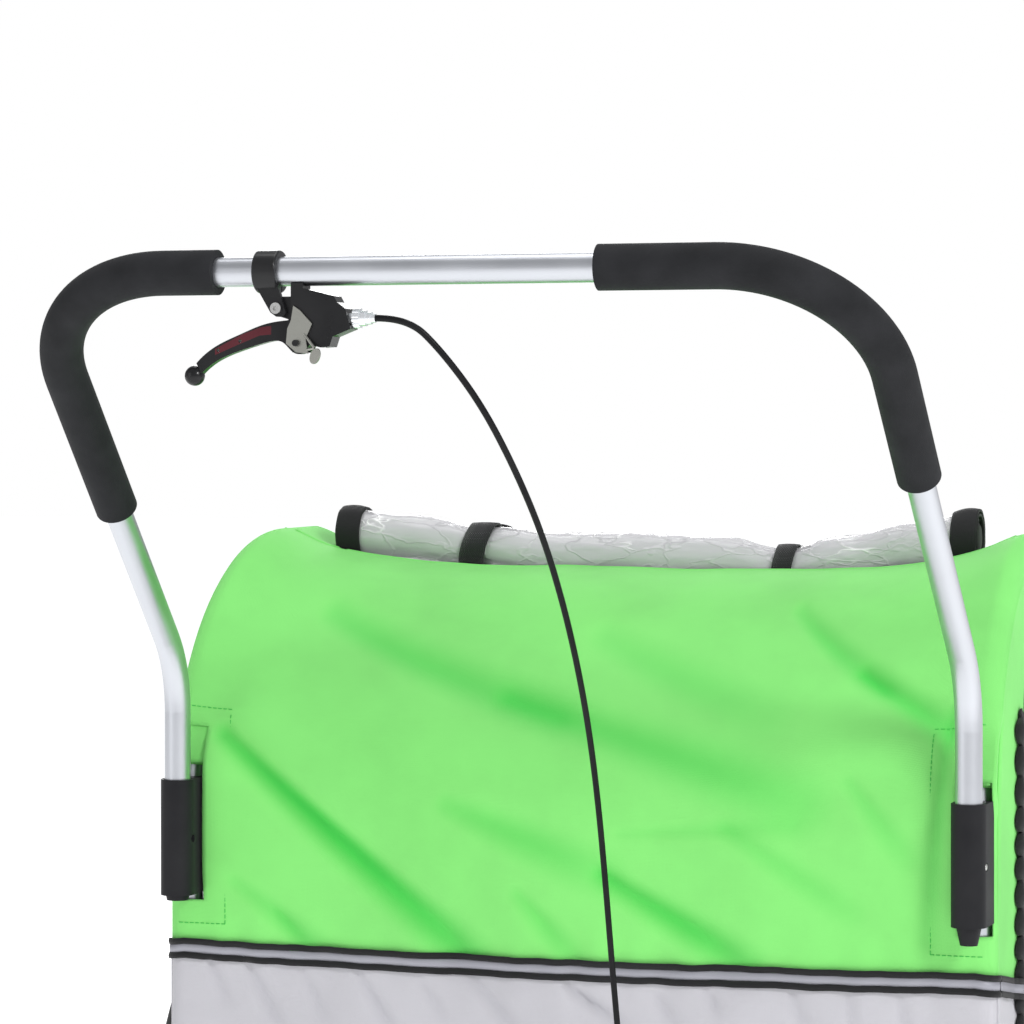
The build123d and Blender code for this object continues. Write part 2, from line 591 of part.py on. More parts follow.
def towing():
    x = HOOP_X
    y = TOW_PIN_Y
    bracket = block(x - 13, x + 13, y - 16, FRONT_POST_Y - 15.5, RAIL_Z - 26, RAIL_Z - 20)
    bracket += block(x - 13, x + 13, y - 16, FRONT_POST_Y - 15.5, RAIL_Z + 20, RAIL_Z + 26)
    bracket += block(x - 13, x + 13, FRONT_POST_Y - 20, FRONT_POST_Y - 15.5, RAIL_Z - 26, RAIL_Z + 26)
    bracket -= rod((x, y, 100), (x, y, 300), TOW_PIN_R + RUNNING_GAP)
    save(bracket, "tow_bracket")
    pin = rod((x, y, RAIL_Z - 32), (x, y, RAIL_Z + 27), TOW_PIN_R)
    pin += rod((x, y, RAIL_Z + 26.2), (x, y, RAIL_Z + 34), 10)
    save(pin, "tow_pin")
    arm = bent_tube(
        [(x, y, RAIL_Z), (x, -400, RAIL_Z), (HITCH_X, -620, HITCH_Z), (HITCH_X, HITCH_PIN_Y + 22, HITCH_Z)],
        [90, 90],
        14,
    )
    arm += rod((x, y, RAIL_Z - 19.5), (x, y, RAIL_Z + 19.5), 16)
    arm -= rod((x, y, 100), (x, y, 300), TOW_PIN_R + RUNNING_GAP)
    fork = block(HITCH_X - 15, HITCH_X + 15, HITCH_PIN_Y - 12, HITCH_PIN_Y + 24, HITCH_Z - 15, HITCH_Z + 15)
    fork -= block(HITCH_X - 20, HITCH_X + 20, HITCH_PIN_Y - 20, HITCH_PIN_Y + 14, HITCH_Z - 7, HITCH_Z + 7)
    arm += fork
    arm -= rod((HITCH_X, HITCH_PIN_Y, 200), (HITCH_X, HITCH_PIN_Y, 400), 4 + RUNNING_GAP)
    save(arm, "tow_arm")
    tongue = rod((HITCH_X, HITCH_PIN_Y, HITCH_Z - 6.7), (HITCH_X, HITCH_PIN_Y, HITCH_Z + 6.7), 12)
    tongue += block(HITCH_X - 8, HITCH_X + 8, HITCH_PIN_Y - 30, HITCH_PIN_Y, HITCH_Z - 6.7, HITCH_Z + 6.7)
    plate_y = HITCH_PIN_Y - 42
    tongue += block(HITCH_X - 3, HITCH_X + 3, plate_y - 16, plate_y + 16, HITCH_Z - 22, HITCH_Z + 22)
    tongue -= rod((HITCH_X - 10, plate_y, HITCH_Z + 8), (HITCH_X + 10, plate_y, HITCH_Z + 8), HITCH_BORE_R)
    tongue += rod((HITCH_X, HITCH_PIN_Y, HITCH_Z - 18), (HITCH_X, HITCH_PIN_Y, HITCH_Z + 18), 4)
    save(tongue, "hitch_coupler")


def covers():
    outer = extrude(side_face(SKIN_OFFSET), 354.8, dir=(1, 0, 0), both=True)
    inner = extrude(side_face(SKIN_OFFSET - SKIN), 400, dir=(1, 0, 0), both=True)
    shell = outer - inner
    rear = shell & block(-400, 400, ROOF_EDGE_Y, 600, BAND_Z + 0.3, 900)
    rear_skirt = shell & block(-400, 400, 400, 600, SKIRT_BOTTOM_Z, BAND_Z - 0.3)
    front_skirt = shell & block(-400, 400, -400, -100, SKIRT_BOTTOM_Z, FRONT_LIP_Z)
    for s in SIDES.values():
        rear -= block(s * 320, s * 360, 440, 600, SOCKET_BOTTOM_Z - 7, SOCKET_TOP_Z + 48)
    save(rear, "rear_cover")
    sides = []
    skirts = [rear_skirt, front_skirt]
    windows = []
    for s in SIDES.values():
        sheet = extrude(side_face(SKIN_OFFSET), s * SKIN, dir=(1, 0, 0))
        sheet = Pos(s * SIDE_SKIN_X, 0, 0) * sheet
        window = extrude(side_face(-52), s * SKIN, dir=(1, 0, 0))
        window = Pos(s * SIDE_SKIN_X, 0, 0) * window
        window &= block(-400, 400, -400, 352, BAND_Z + 30, 900)
        top = (sheet & block(-400, 400, -400, 600, BAND_Z + 0.3, 900)) - window
        skirt = sheet & block(-400, 400, -400, 600, SKIRT_BOTTOM_Z, BAND_Z - 0.3)
        skirt -= rod((s * 300, AXLE_Y, AXLE_Z), (s * 400, AXLE_Y, AXLE_Z), AXLE_TUBE_R + 2)
        pane = extrude(side_face(-52.5), s * 0.8, dir=(1, 0, 0))
        pane = Pos(s * (SIDE_SKIN_X + 0.6), 0, 0) * pane
        pane &= block(-400, 400, -400, 351.5, BAND_Z + 30.5, 900)
        sides.append(top)
        skirts.append(skirt)
        windows.append(pane)
    save_group(sides, "side_covers")
    floor = block(-357.5, 357.5, FRONT_POST_Y - SKIN_OFFSET, POST_Y + SKIN_OFFSET, SKIRT_BOTTOM_Z - 2.5,
                  SKIRT_BOTTOM_Z - 0.5)
    skirts.append(floor)
    save_group(skirts, "lower_skirts")
    save_group(windows, "side_windows")
    y = POST_Y + SKIN_OFFSET
    strips = [block(-357, 357, y + 0.2, y + 1.2, BAND_Z - 8.7, BAND_Z + 8.7)]
    for s in SIDES.values():
        strips.append(block(s * 357.7, s * 358.7, 370, y, BAND_Z - 8.7, BAND_Z + 8.7))
    save_group(strips, "reflective_strips")


def interior():
    cushion = block(-318, 318, -50, 196, 296, 326)
    cushion = fillet(cushion.edges().filter_by(Axis.Z), 20)
    save(fillet(cushion.edges().sort_by(Axis.Z)[-8:], 10), "seat_cushion")
    back = block(-318, 318, 0, 20, 0, 400)
    back = fillet(back.edges().filter_by(Axis.Y), 30)
    back = Pos(0, 206, 330) * (Rot(-16, 0, 0) * back)
    save(back, "seat_back")
    straps = []
    buckles = []
    for seat_x in (-160, 160):
        for s in (-1, 1):
            strap = block(seat_x + s * 62 - 12.5, seat_x + s * 62 + 12.5, -2.2, -0.6, 30, 330)
            straps.append(Pos(0, 206, 330) * (Rot(-16, 0, 0) * strap))
            straps.append(block(seat_x + s * 20, seat_x + s * 130, 150, 175, 327, 328.6))
        straps.append(block(seat_x - 12.5, seat_x + 12.5, 40, 130, 327, 328.6))
        buckle = block(seat_x - 19, seat_x + 19, 132, 178, 327, 339)
        buckles.append(fillet(buckle.edges(), 4))
    save_group(straps, "harness_straps")
    save_group(buckles, "harness_buckles")


def rain_cover_roll():
    points = [(292, 194, 829), (165, 194, 819), (10, 194, 808)]
    points += [(-122, 194, 801), (-235, 194, 822), (-292, 194, 829)]
    radii = [200, 200, 200, 150]
    roll = bent_tube(points, radii, 22)
    bindings = []
    for s in (-1, 1):
        bindings.append(rod((s * 295.5, 194, 829), (s * 298, 194, 829), 25))
    wrap = bent_tube(points, radii, 25, 22.5)
    for x in (165, -122):
        bindings.append(wrap & block(x - 11, x + 11, 150, 240, 700, 900))
    save(roll, "rain_cover_roll")
    save_group(bindings, "roll_bindings")


floor_frame()
axle_parts()
for side_name, side_sign in SIDES.items():
    rear_wheel(side_name, side_sign)
brakes()
hoops()
handle()
brake_lever()
cables()
front_wheel()
towing()
covers()
interior()
rain_cover_roll()
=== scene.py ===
import math

import bmesh
import bpy
from mathutils import Matrix, Vector, noise


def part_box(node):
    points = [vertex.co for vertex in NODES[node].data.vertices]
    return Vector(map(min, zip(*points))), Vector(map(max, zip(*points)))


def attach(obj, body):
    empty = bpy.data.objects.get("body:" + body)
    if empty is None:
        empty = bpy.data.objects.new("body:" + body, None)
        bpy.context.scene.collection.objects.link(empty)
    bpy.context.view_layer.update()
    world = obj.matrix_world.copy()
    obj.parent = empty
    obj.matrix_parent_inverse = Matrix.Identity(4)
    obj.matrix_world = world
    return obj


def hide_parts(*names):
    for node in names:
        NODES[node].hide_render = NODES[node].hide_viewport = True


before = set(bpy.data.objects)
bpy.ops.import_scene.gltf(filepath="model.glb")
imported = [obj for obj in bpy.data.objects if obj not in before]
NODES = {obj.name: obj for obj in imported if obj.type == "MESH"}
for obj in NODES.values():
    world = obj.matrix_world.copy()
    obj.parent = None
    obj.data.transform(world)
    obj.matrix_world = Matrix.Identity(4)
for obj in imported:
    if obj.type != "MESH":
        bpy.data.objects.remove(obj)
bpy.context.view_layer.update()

# ---------------------------------------------------------------- dimensions, in metres

HOOP_X = 0.341
POST_Y = 0.456
FRONT_POST_Y = -0.201
HOOP_TOP_Z = 0.818
HOOP_REAR_R = 0.218
HOOP_FRONT_R = 0.120
HOOP_KNEE_R = 0.080
FRONT_CORNER_Y = 0.090
FRONT_SLOPE = math.radians(58)
ARC_CENTRE = Vector((0, POST_Y - HOOP_REAR_R, HOOP_TOP_Z - HOOP_REAR_R))

SKIN_OUT = 0.0138
SIDE_X = 0.3563
PANEL_X = 0.3546
HEM_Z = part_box("lower_skirts")[0][2] + 0.003
BAND_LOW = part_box("reflective_strips")[0][2]
BAND_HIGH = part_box("reflective_strips")[1][2]
BAND_Z = (BAND_LOW + BAND_HIGH) / 2
ROOF_EDGE_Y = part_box("rear_cover")[0][1]
JOINT_TOP_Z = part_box("floor_joints")[1][2]
SHOULDER_LENGTH = 0.075
SHOULDER_Y = ROOF_EDGE_Y - SHOULDER_LENGTH
SHOULDER_INNER_X = 0.301
TUCK = 0.0105
LIP_Z = 0.340
SLITS = {
    # side: inner x, outer x, low z, high z
    1: (0.3230, 0.3550, 0.524, 0.673),
    -1: (0.3265, 0.3522, 0.520, 0.643),
}
WRAP = 0.014
CORNER_STRETCH = 0.145
BINDING_Y = 0.356
CORNER_REACH = 0.045

GRID = 0.004


# ---------------------------------------------------------------- shader helpers

def new_material(name):
    mat = bpy.data.materials.new(name)
    mat.use_nodes = True
    tree = mat.node_tree
    return mat, tree, tree.nodes["Principled BSDF"]


def node(tree, kind, values=(), **settings):
    made = tree.nodes.new(kind)
    for key, value in settings.items():
        setattr(made, key, value)
    for key, value in dict(values).items():
        made.inputs[key].default_value = value
    return made


def object_coords(tree, scale=(1, 1, 1), rotation=(0, 0, 0)):
    coords = node(tree, "ShaderNodeTexCoord")
    mapping = node(tree, "ShaderNodeMapping", {"Scale": scale, "Rotation": rotation})
    tree.links.new(coords.outputs["Object"], mapping.inputs["Vector"])
    return mapping.outputs["Vector"]


def noise_at(tree, vector, scale, detail=3.0, roughness=0.5):
    made = node(tree, "ShaderNodeTexNoise", {"Scale": scale, "Detail": detail, "Roughness": roughness})
    tree.links.new(vector, made.inputs["Vector"])
    return made.outputs["Fac"]


def ramp(tree, fac, stops, interpolation="LINEAR"):
    made = node(tree, "ShaderNodeValToRGB")
    made.color_ramp.interpolation = interpolation
    elements = made.color_ramp.elements
    while len(elements) < len(stops):
        elements.new(0.5)
    for element, (position, colour) in zip(elements, stops):
        element.position = position
        element.color = (*colour, 1) if len(colour) == 3 else colour
    tree.links.new(fac, made.inputs["Fac"])
    return made.outputs["Color"]


def bump(tree, height, strength, distance, under=None):
    made = node(tree, "ShaderNodeBump", {"Strength": strength, "Distance": distance})
    tree.links.new(height, made.inputs["Height"])
    if under is not None:
        tree.links.new(under, made.inputs["Normal"])
    return made.outputs["Normal"]


def maths(tree, operation, a, b=None):
    made = node(tree, "ShaderNodeMath", operation=operation)
    for socket, value in zip(made.inputs, (a, b)):
        if value is None:
            continue
        if isinstance(value, (int, float)):
            socket.default_value = value
        else:
            tree.links.new(value, socket)
    return made.outputs[0]


def shade(colour, factor):
    return tuple(c * factor for c in colour[:3])


def fabric(name, colour, dark=0.82, light=1.06, thread=0.0011, sheen=0.25, roughness=0.78, weave=0.35,
           fold=None):
    """Plain-weave cloth, with its threads along two directions; fold is a painted shade colour that the fold
    attribute mixes in deep in a crease, standing in for the shade and green interreflection there.
    """
    mat, tree, bsdf = new_material(name)
    vector = object_coords(tree)
    patches = noise_at(tree, vector, 9.0, 4.0)
    colours = ramp(tree, patches, [(0.3, shade(colour, dark)), (0.55, colour), (0.8, shade(colour, light))])
    # Painted shade: the base colour darkens towards the fold colour where the fold attribute says a crease
    # is deep.
    if fold is not None:
        depth = node(tree, "ShaderNodeAttribute", attribute_name="fold")
        mix = node(tree, "ShaderNodeMixRGB", {"Color2": (*fold, 1)})
        tree.links.new(depth.outputs["Fac"], mix.inputs["Fac"])
        tree.links.new(colours, mix.inputs["Color1"])
        colours = mix.outputs["Color"]
    tree.links.new(colours, bsdf.inputs["Base Color"])
    parts = node(tree, "ShaderNodeSeparateXYZ")
    tree.links.new(vector, parts.inputs[0])
    turns = 2 * math.pi / thread
    across = maths(tree, "SINE", maths(tree, "MULTIPLY", parts.outputs["X"], turns))
    up = maths(tree, "SINE", maths(tree, "MULTIPLY", parts.outputs["Z"], turns))
    deep = maths(tree, "SINE", maths(tree, "MULTIPLY", parts.outputs["Y"], turns))
    threads = maths(tree, "MULTIPLY", maths(tree, "ADD", across, deep), maths(tree, "ADD", up, across))
    normal = bump(tree, threads, weave, 0.0002)
    normal = bump(tree, noise_at(tree, vector, 45.0, 3.0), 0.25, 0.0012, normal)
    tree.links.new(normal, bsdf.inputs["Normal"])
    bsdf.inputs["Roughness"].default_value = roughness
    bsdf.inputs["Sheen Weight"].default_value = sheen
    bsdf.inputs["Sheen Roughness"].default_value = 0.5
    bsdf.inputs["Specular IOR Level"].default_value = 0.3
    return mat


def metal(name, colour, roughness=0.3, brush=(1, 1, 1), grain=0.2, metallic=1.0, spread=0.08):
    """Metal with fine drawn lines, stretched along the axis with the small brush value."""
    mat, tree, bsdf = new_material(name)
    lines = noise_at(tree, object_coords(tree, brush), 900.0, 2.0)
    blotch = noise_at(tree, object_coords(tree), 14.0, 3.0)
    colours = ramp(tree, blotch, [(0.3, shade(colour, 0.93)), (0.7, colour)])
    tree.links.new(colours, bsdf.inputs["Base Color"])
    low, high = roughness - spread, roughness + spread
    rough = ramp(tree, blotch, [(0.25, (low,) * 3), (0.75, (high,) * 3)])
    tree.links.new(rough, bsdf.inputs["Roughness"])
    tree.links.new(bump(tree, lines, grain, 0.00015), bsdf.inputs["Normal"])
    bsdf.inputs["Metallic"].default_value = metallic
    return mat


def plastic(name, colour, roughness=0.45, grain_scale=900.0, grain=0.25, depth=0.0001, coat=0.0, gloss=0.3):
    """Moulded plastic or paint with a fine texture and faint wear in its gloss."""
    mat, tree, bsdf = new_material(name)
    vector = object_coords(tree)
    blotch = noise_at(tree, vector, 22.0, 5.0)
    colours = ramp(tree, blotch, [(0.35, colour), (0.75, tuple(c + 0.008 for c in colour[:3]))])
    tree.links.new(colours, bsdf.inputs["Base Color"])
    rough = ramp(tree, blotch, [(0.3, (roughness - 0.06,) * 3), (0.7, (roughness + 0.06,) * 3)])
    tree.links.new(rough, bsdf.inputs["Roughness"])
    tree.links.new(bump(tree, noise_at(tree, vector, grain_scale, 2.0), grain, depth), bsdf.inputs["Normal"])
    bsdf.inputs["Coat Weight"].default_value = coat
    bsdf.inputs["Specular IOR Level"].default_value = gloss
    return mat


def foam_material():
    mat, tree, bsdf = new_material("Grip_Foam")
    vector = object_coords(tree)
    cells = node(tree, "ShaderNodeTexVoronoi", {"Scale": 1400.0})
    tree.links.new(vector, cells.inputs["Vector"])
    blotch = noise_at(tree, vector, 30.0, 4.0)
    colours = ramp(tree, blotch, [(0.3, (0.012, 0.0125, 0.014)), (0.7, (0.021, 0.0215, 0.024))])
    tree.links.new(colours, bsdf.inputs["Base Color"])
    normal = bump(tree, cells.outputs["Distance"], 0.5, 0.0002)
    normal = bump(tree, noise_at(tree, vector, 160.0, 3.0), 0.15, 0.0006, normal)
    tree.links.new(normal, bsdf.inputs["Normal"])
    bsdf.inputs["Roughness"].default_value = 0.75
    bsdf.inputs["Sheen Weight"].default_value = 0.02
    bsdf.inputs["Specular IOR Level"].default_value = 0.14
    return mat


def rubber_material():
    mat, tree, bsdf = new_material("Tyre_Rubber")
    vector = object_coords(tree)
    dust = noise_at(tree, vector, 60.0, 5.0)
    colours = ramp(tree, dust, [(0.35, (0.014, 0.014, 0.015)), (0.8, (0.035, 0.034, 0.033))])
    tree.links.new(colours, bsdf.inputs["Base Color"])
    tree.links.new(bump(tree, dust, 0.4, 0.0006), bsdf.inputs["Normal"])
    bsdf.inputs["Roughness"].default_value = 0.7
    return mat


def film_material(name, tint, alpha, crease_scale, painted_highlight_strength, roll=False):
    """Clear plastic film with crinkles, whose ridges get painted white highlights in their colour and are
    made more opaque, standing in for the light they catch.
    """
    mat, tree, bsdf = new_material(name)
    vector = object_coords(tree, (0.45, 1.0, 1.0) if roll else (1, 1, 1))
    warp = node(tree, "ShaderNodeTexNoise", {"Scale": 30.0, "Detail": 3.0})
    tree.links.new(vector, warp.inputs["Vector"])
    bent = node(tree, "ShaderNodeMixRGB", {"Fac": 0.06})
    tree.links.new(vector, bent.inputs["Color1"])
    tree.links.new(warp.outputs["Color"], bent.inputs["Color2"])
    cracks = node(tree, "ShaderNodeTexVoronoi", {"Scale": crease_scale}, feature="DISTANCE_TO_EDGE")
    tree.links.new(bent.outputs["Color"], cracks.inputs["Vector"])
    ridge = ramp(tree, cracks.outputs["Distance"], [(0.0, (1, 1, 1)), (0.06, (0, 0, 0))])
    patches = noise_at(tree, vector, 34.0, 2.0)
    where = ramp(tree, patches, [(0.54, (0, 0, 0)), (0.66, (1, 1, 1))])
    # Painted highlights: white mixed into the colour along crinkle ridges, in patches, and made more opaque
    # there.
    painted_crinkle_highlights = maths(tree, "MULTIPLY", maths(tree, "MULTIPLY", ridge, where), painted_highlight_strength)
    base = node(tree, "ShaderNodeMixRGB")
    base.inputs["Color1"].default_value = (*tint, 1)
    base.inputs["Color2"].default_value = (1, 1, 1, 1)
    tree.links.new(painted_crinkle_highlights, base.inputs["Fac"])
    tree.links.new(base.outputs["Color"], bsdf.inputs["Base Color"])
    solid = maths(tree, "MAXIMUM", maths(tree, "MULTIPLY", painted_crinkle_highlights, 0.85), alpha)
    tree.links.new(solid, bsdf.inputs["Alpha"])
    normal = bump(tree, ridge, 0.5, 0.0015)
    normal = bump(tree, patches, 0.5, 0.004, normal)
    tree.links.new(normal, bsdf.inputs["Normal"])
    bsdf.inputs["Roughness"].default_value = 0.12
    bsdf.inputs["IOR"].default_value = 1.45
    bsdf.inputs["Specular IOR Level"].default_value = 0.7
    return mat


# The fold colours of the green and grey cloth are painted shade for their creases.
GREEN = fabric("Green_Cloth", (0.215, 0.715, 0.165), dark=0.90, light=1.05, sheen=0.06,
               fold=(0.055, 0.56, 0.070))
GREEN_THREAD = plastic("Green_Thread", (0.06, 0.50, 0.08), 0.7)
GREY = fabric("Grey_Cloth", (0.495, 0.487, 0.520), dark=0.94, light=1.03, fold=(0.40, 0.395, 0.43))
SEAT = fabric("Seat_Cloth", (0.045, 0.046, 0.052), dark=0.7, light=1.35, thread=0.0016)
WEBBING = fabric("Black_Webbing", (0.014, 0.014, 0.016), dark=0.7, light=1.5, thread=0.0022, weave=0.8)
EDGING = fabric("Black_Edging", (0.008, 0.008, 0.009), dark=0.6, light=1.5, thread=0.0016, sheen=0.1)
REFLECTIVE = metal("Reflective_Tape", (0.32, 0.32, 0.36), 0.50, metallic=0.25)
TUBE = metal("Anodised_Tube", (0.56, 0.575, 0.61), 0.36, brush=(0.03, 1, 1), grain=0.12)
RIM = metal("Rim_Aluminium", (0.66, 0.67, 0.69), 0.28)
STEEL = metal("Zinc_Steel", (0.52, 0.52, 0.51), 0.33)
LATCH = metal("Latch_Zinc", (0.33, 0.33, 0.30), 0.42)
BLACK_PAINT = plastic("Black_Paint", (0.012, 0.012, 0.013), 0.32, 300.0, 0.1, coat=0.2)
BLACK_PLASTIC = plastic("Black_Plastic", (0.011, 0.011, 0.013), 0.55, gloss=0.16)
BLACK_METAL = plastic("Black_Lever_Paint", (0.008, 0.008, 0.009), 0.30, 500.0, 0.12, coat=0.15, gloss=0.2)
RED = plastic("Dark_Red_Inlay", (0.075, 0.004, 0.010), 0.35)
JACKET = plastic("Cable_Jacket", (0.006, 0.006, 0.007), 0.42, 200.0, 0.05, gloss=0.12)
CLEAR = metal("Adjuster_Bright", (0.86, 0.88, 0.90), 0.16, metallic=0.75)
FOAM = foam_material()
RUBBER = rubber_material()
# The number after the crinkle scale is the strength of the painted white highlights on the crinkles.
WINDOW_FILM = film_material("Window_Film", (0.75, 0.78, 0.78), 0.22, 12.0, 0.15)
ROLL_FILM = film_material("Roll_Film", (0.66, 0.655, 0.675), 0.58, 45.0, 1.0, roll=True)


# ---------------------------------------------------------------- mesh helpers

def link(name, mesh, material):
    made = bpy.data.objects.new(name, mesh)
    bpy.context.collection.objects.link(made)
    mesh.materials.append(material)
    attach(made, "chassis")
    return made


def from_lists(name, verts, faces, material):
    mesh = bpy.data.meshes.new(name)
    mesh.from_pydata([tuple(v) for v in verts], [], faces)
    mesh.shade_smooth()
    mesh.update()
    return link(name, mesh, material)


def apply_modifiers(obj):
    bpy.context.view_layer.update()
    graph = bpy.context.evaluated_depsgraph_get()
    mesh = bpy.data.meshes.new_from_object(obj.evaluated_get(graph))
    obj.modifiers.clear()
    obj.data = mesh
    return obj


def thicken(obj, thickness, offset=-1.0):
    solid = obj.modifiers.new("Thickness", "SOLIDIFY")
    solid.thickness = thickness
    solid.offset = offset
    return apply_modifiers(obj)


def lattice(rows, columns):
    """Faces that join points laid out row by row."""
    corners = [r * columns + c for r in range(rows - 1) for c in range(columns - 1)]
    return [(a, a + 1, a + 1 + columns, a + columns) for a in corners]


def grid_sheet(name, across, along, place, material, keep=None, thickness=0.0012, fold=None):
    """A sheet of cloth: place(u, v) gives each point, and keep(u, v) drops what a hole takes.

    fold(u, v) from 0 to 1 tells how deep in a crease the point lies; the material paints shade into the
    cloth's colour by it.
    """
    verts = []
    index = {}
    for j, v in enumerate(along):
        for i, u in enumerate(across):
            index[i, j] = len(verts)
            verts.append(place(u, v))
    faces = []
    for j in range(len(along) - 1):
        for i in range(len(across) - 1):
            middle = (across[i] + across[i + 1]) / 2, (along[j] + along[j + 1]) / 2
            if keep is None or keep(*middle):
                faces.append((index[i, j], index[i + 1, j], index[i + 1, j + 1], index[i, j + 1]))
    obj = from_lists(name, verts, faces, material)
    # Crease depth for the painted shade in the cloth's colour.
    if fold is not None:
        depth = obj.data.attributes.new("fold", "FLOAT", "POINT")
        depth.data.foreach_set("value", [fold(u, v) for v in along for u in across])
    tidy = bmesh.new()
    tidy.from_mesh(obj.data)
    loose = [v for v in tidy.verts if not v.link_faces]
    bmesh.ops.delete(tidy, geom=loose, context="VERTS")
    bmesh.ops.recalc_face_normals(tidy, faces=tidy.faces)
    tidy.to_mesh(obj.data)
    tidy.free()
    return thicken(obj, thickness, 0.0)


def steps(start, end, size, breaks=()):
    """Evenly spread values from start to end, with the breaks among them."""
    marks = sorted({start, end, *[b for b in breaks if min(start, end) < b < max(start, end)]})
    if start > end:
        marks.reverse()
    values = []
    for a, b in zip(marks, marks[1:]):
        count = max(1, math.ceil(abs(b - a) / size))
        values += [a + (b - a) * i / count for i in range(count)]
    return [*values, marks[-1]]


def tube_along(name, points, radius, material, closed=False, squash=1.0, sides=10):
    """A soft round or flat edging along points, whose radius may be a function of the share."""
    verts, faces = [], []
    count = len(points)
    for i, point in enumerate(points):
        before = points[i - 1] if i or closed else points[0]
        after = points[(i + 1) % count] if i < count - 1 or closed else points[-1]
        ahead = (after - before).normalized()
        side = ahead.cross(Vector((1, 0, 0)))
        if side.length < 0.2:
            side = ahead.cross(Vector((0, 0, 1)))
        side.normalize()
        up = side.cross(ahead).normalized()
        r = radius(i / count) if callable(radius) else radius
        for k in range(sides):
            a = 2 * math.pi * k / sides
            verts.append(point + side * (r * math.cos(a)) + up * (r * squash * math.sin(a)))
    rings = count if closed else count - 1
    for i in range(rings):
        for k in range(sides):
            a, b = i * sides + k, i * sides + (k + 1) % sides
            c, d = ((i + 1) % count) * sides + (k + 1) % sides, ((i + 1) % count) * sides + k
            faces.append((a, b, c, d))
    if not closed:
        faces.append(tuple(reversed(range(sides))))
        faces.append(tuple(range((count - 1) * sides, count * sides)))
    return from_lists(name, verts, faces, material)


def stitches(name, runs, face, material, length=0.0032, gap=0.0016, radius=0.00042):
    """Rows of thread: short rods that lie on the cloth; face(a, b) puts a run's point on it."""
    verts, faces = [], []
    for start, end in runs:
        span = math.dist(start, end)
        count = int(span / (length + gap))
        for i in range(count):
            ends = []
            for share in (i * (length + gap) / span, (i * (length + gap) + length) / span):
                at = [a + (b - a) * share for a, b in zip(start, end)]
                ends.append(face(*at))
            ahead = (ends[1] - ends[0]).normalized()
            side = ahead.cross(Vector((0, 1, 0.001))).normalized() * radius
            up = ahead.cross(side).normalized() * radius
            first = len(verts)
            for p in ends:
                verts += [p + side, p + up, p - side, p - up]
            for k in range(4):
                m = (k + 1) % 4
                faces.append((first + k, first + m, first + 4 + m, first + 4 + k))
            faces += [(first + 3, first + 2, first + 1, first), (first + 4, first + 5, first + 6, first + 7)]
    return from_lists(name, verts, faces, material)


def smoothstep(low, high, value):
    t = min(1.0, max(0.0, (value - low) / (high - low)))
    return t * t * (3 - 2 * t)


def ripple(x, y, z, scale, seed=0.0):
    return noise.noise(Vector((x * scale + seed, y * scale - seed, z * scale + 2 * seed)))


# ---------------------------------------------------------------- the cabin's side outline

def outline_corners(grow):
    top = HOOP_TOP_Z + grow
    rear = POST_Y + grow
    front = FRONT_POST_Y - grow
    corner = FRONT_CORNER_Y - grow * math.tan(FRONT_SLOPE / 2)
    knee = top - (corner - front) * math.tan(FRONT_SLOPE)
    points = [(rear, HEM_Z), (rear, top), (corner, top), (front, knee), (front, HEM_Z)]
    return [Vector(p) for p in points], [r + grow for r in (HOOP_REAR_R, HOOP_FRONT_R, HOOP_KNEE_R)]


def outline(grow, step=0.006):
    """Points (y, z) from the rear hem over the top to the front hem."""
    corners, radii = outline_corners(grow)
    points = [corners[0]]
    for before, corner, after, radius in zip(corners, corners[1:], corners[2:], radii):
        back, ahead = (before - corner).normalized(), (after - corner).normalized()
        half = back.angle(ahead) / 2
        reach = radius / math.tan(half)
        centre = corner + (back + ahead).normalized() * (radius / math.sin(half))
        start, end = corner + back * reach - centre, corner + ahead * reach - centre
        sweep = start.angle_signed(end)
        count = max(4, int(abs(sweep) * radius / step))
        for i in range(count + 1):
            a = -sweep * i / count
            c, s = math.cos(a), math.sin(a)
            points.append(centre + Vector((start.x * c - start.y * s, start.x * s + start.y * c)))
    points.append(corners[-1])
    return points


def travel(points, step):
    """The same line with points every step along it."""
    dense = [points[0].copy()]
    for a, b in zip(points, points[1:]):
        count = max(1, math.ceil((b - a).length / step))
        dense += [a.lerp(b, i / count) for i in range(1, count + 1)]
    return dense


# ---------------------------------------------------------------- stage, light and camera

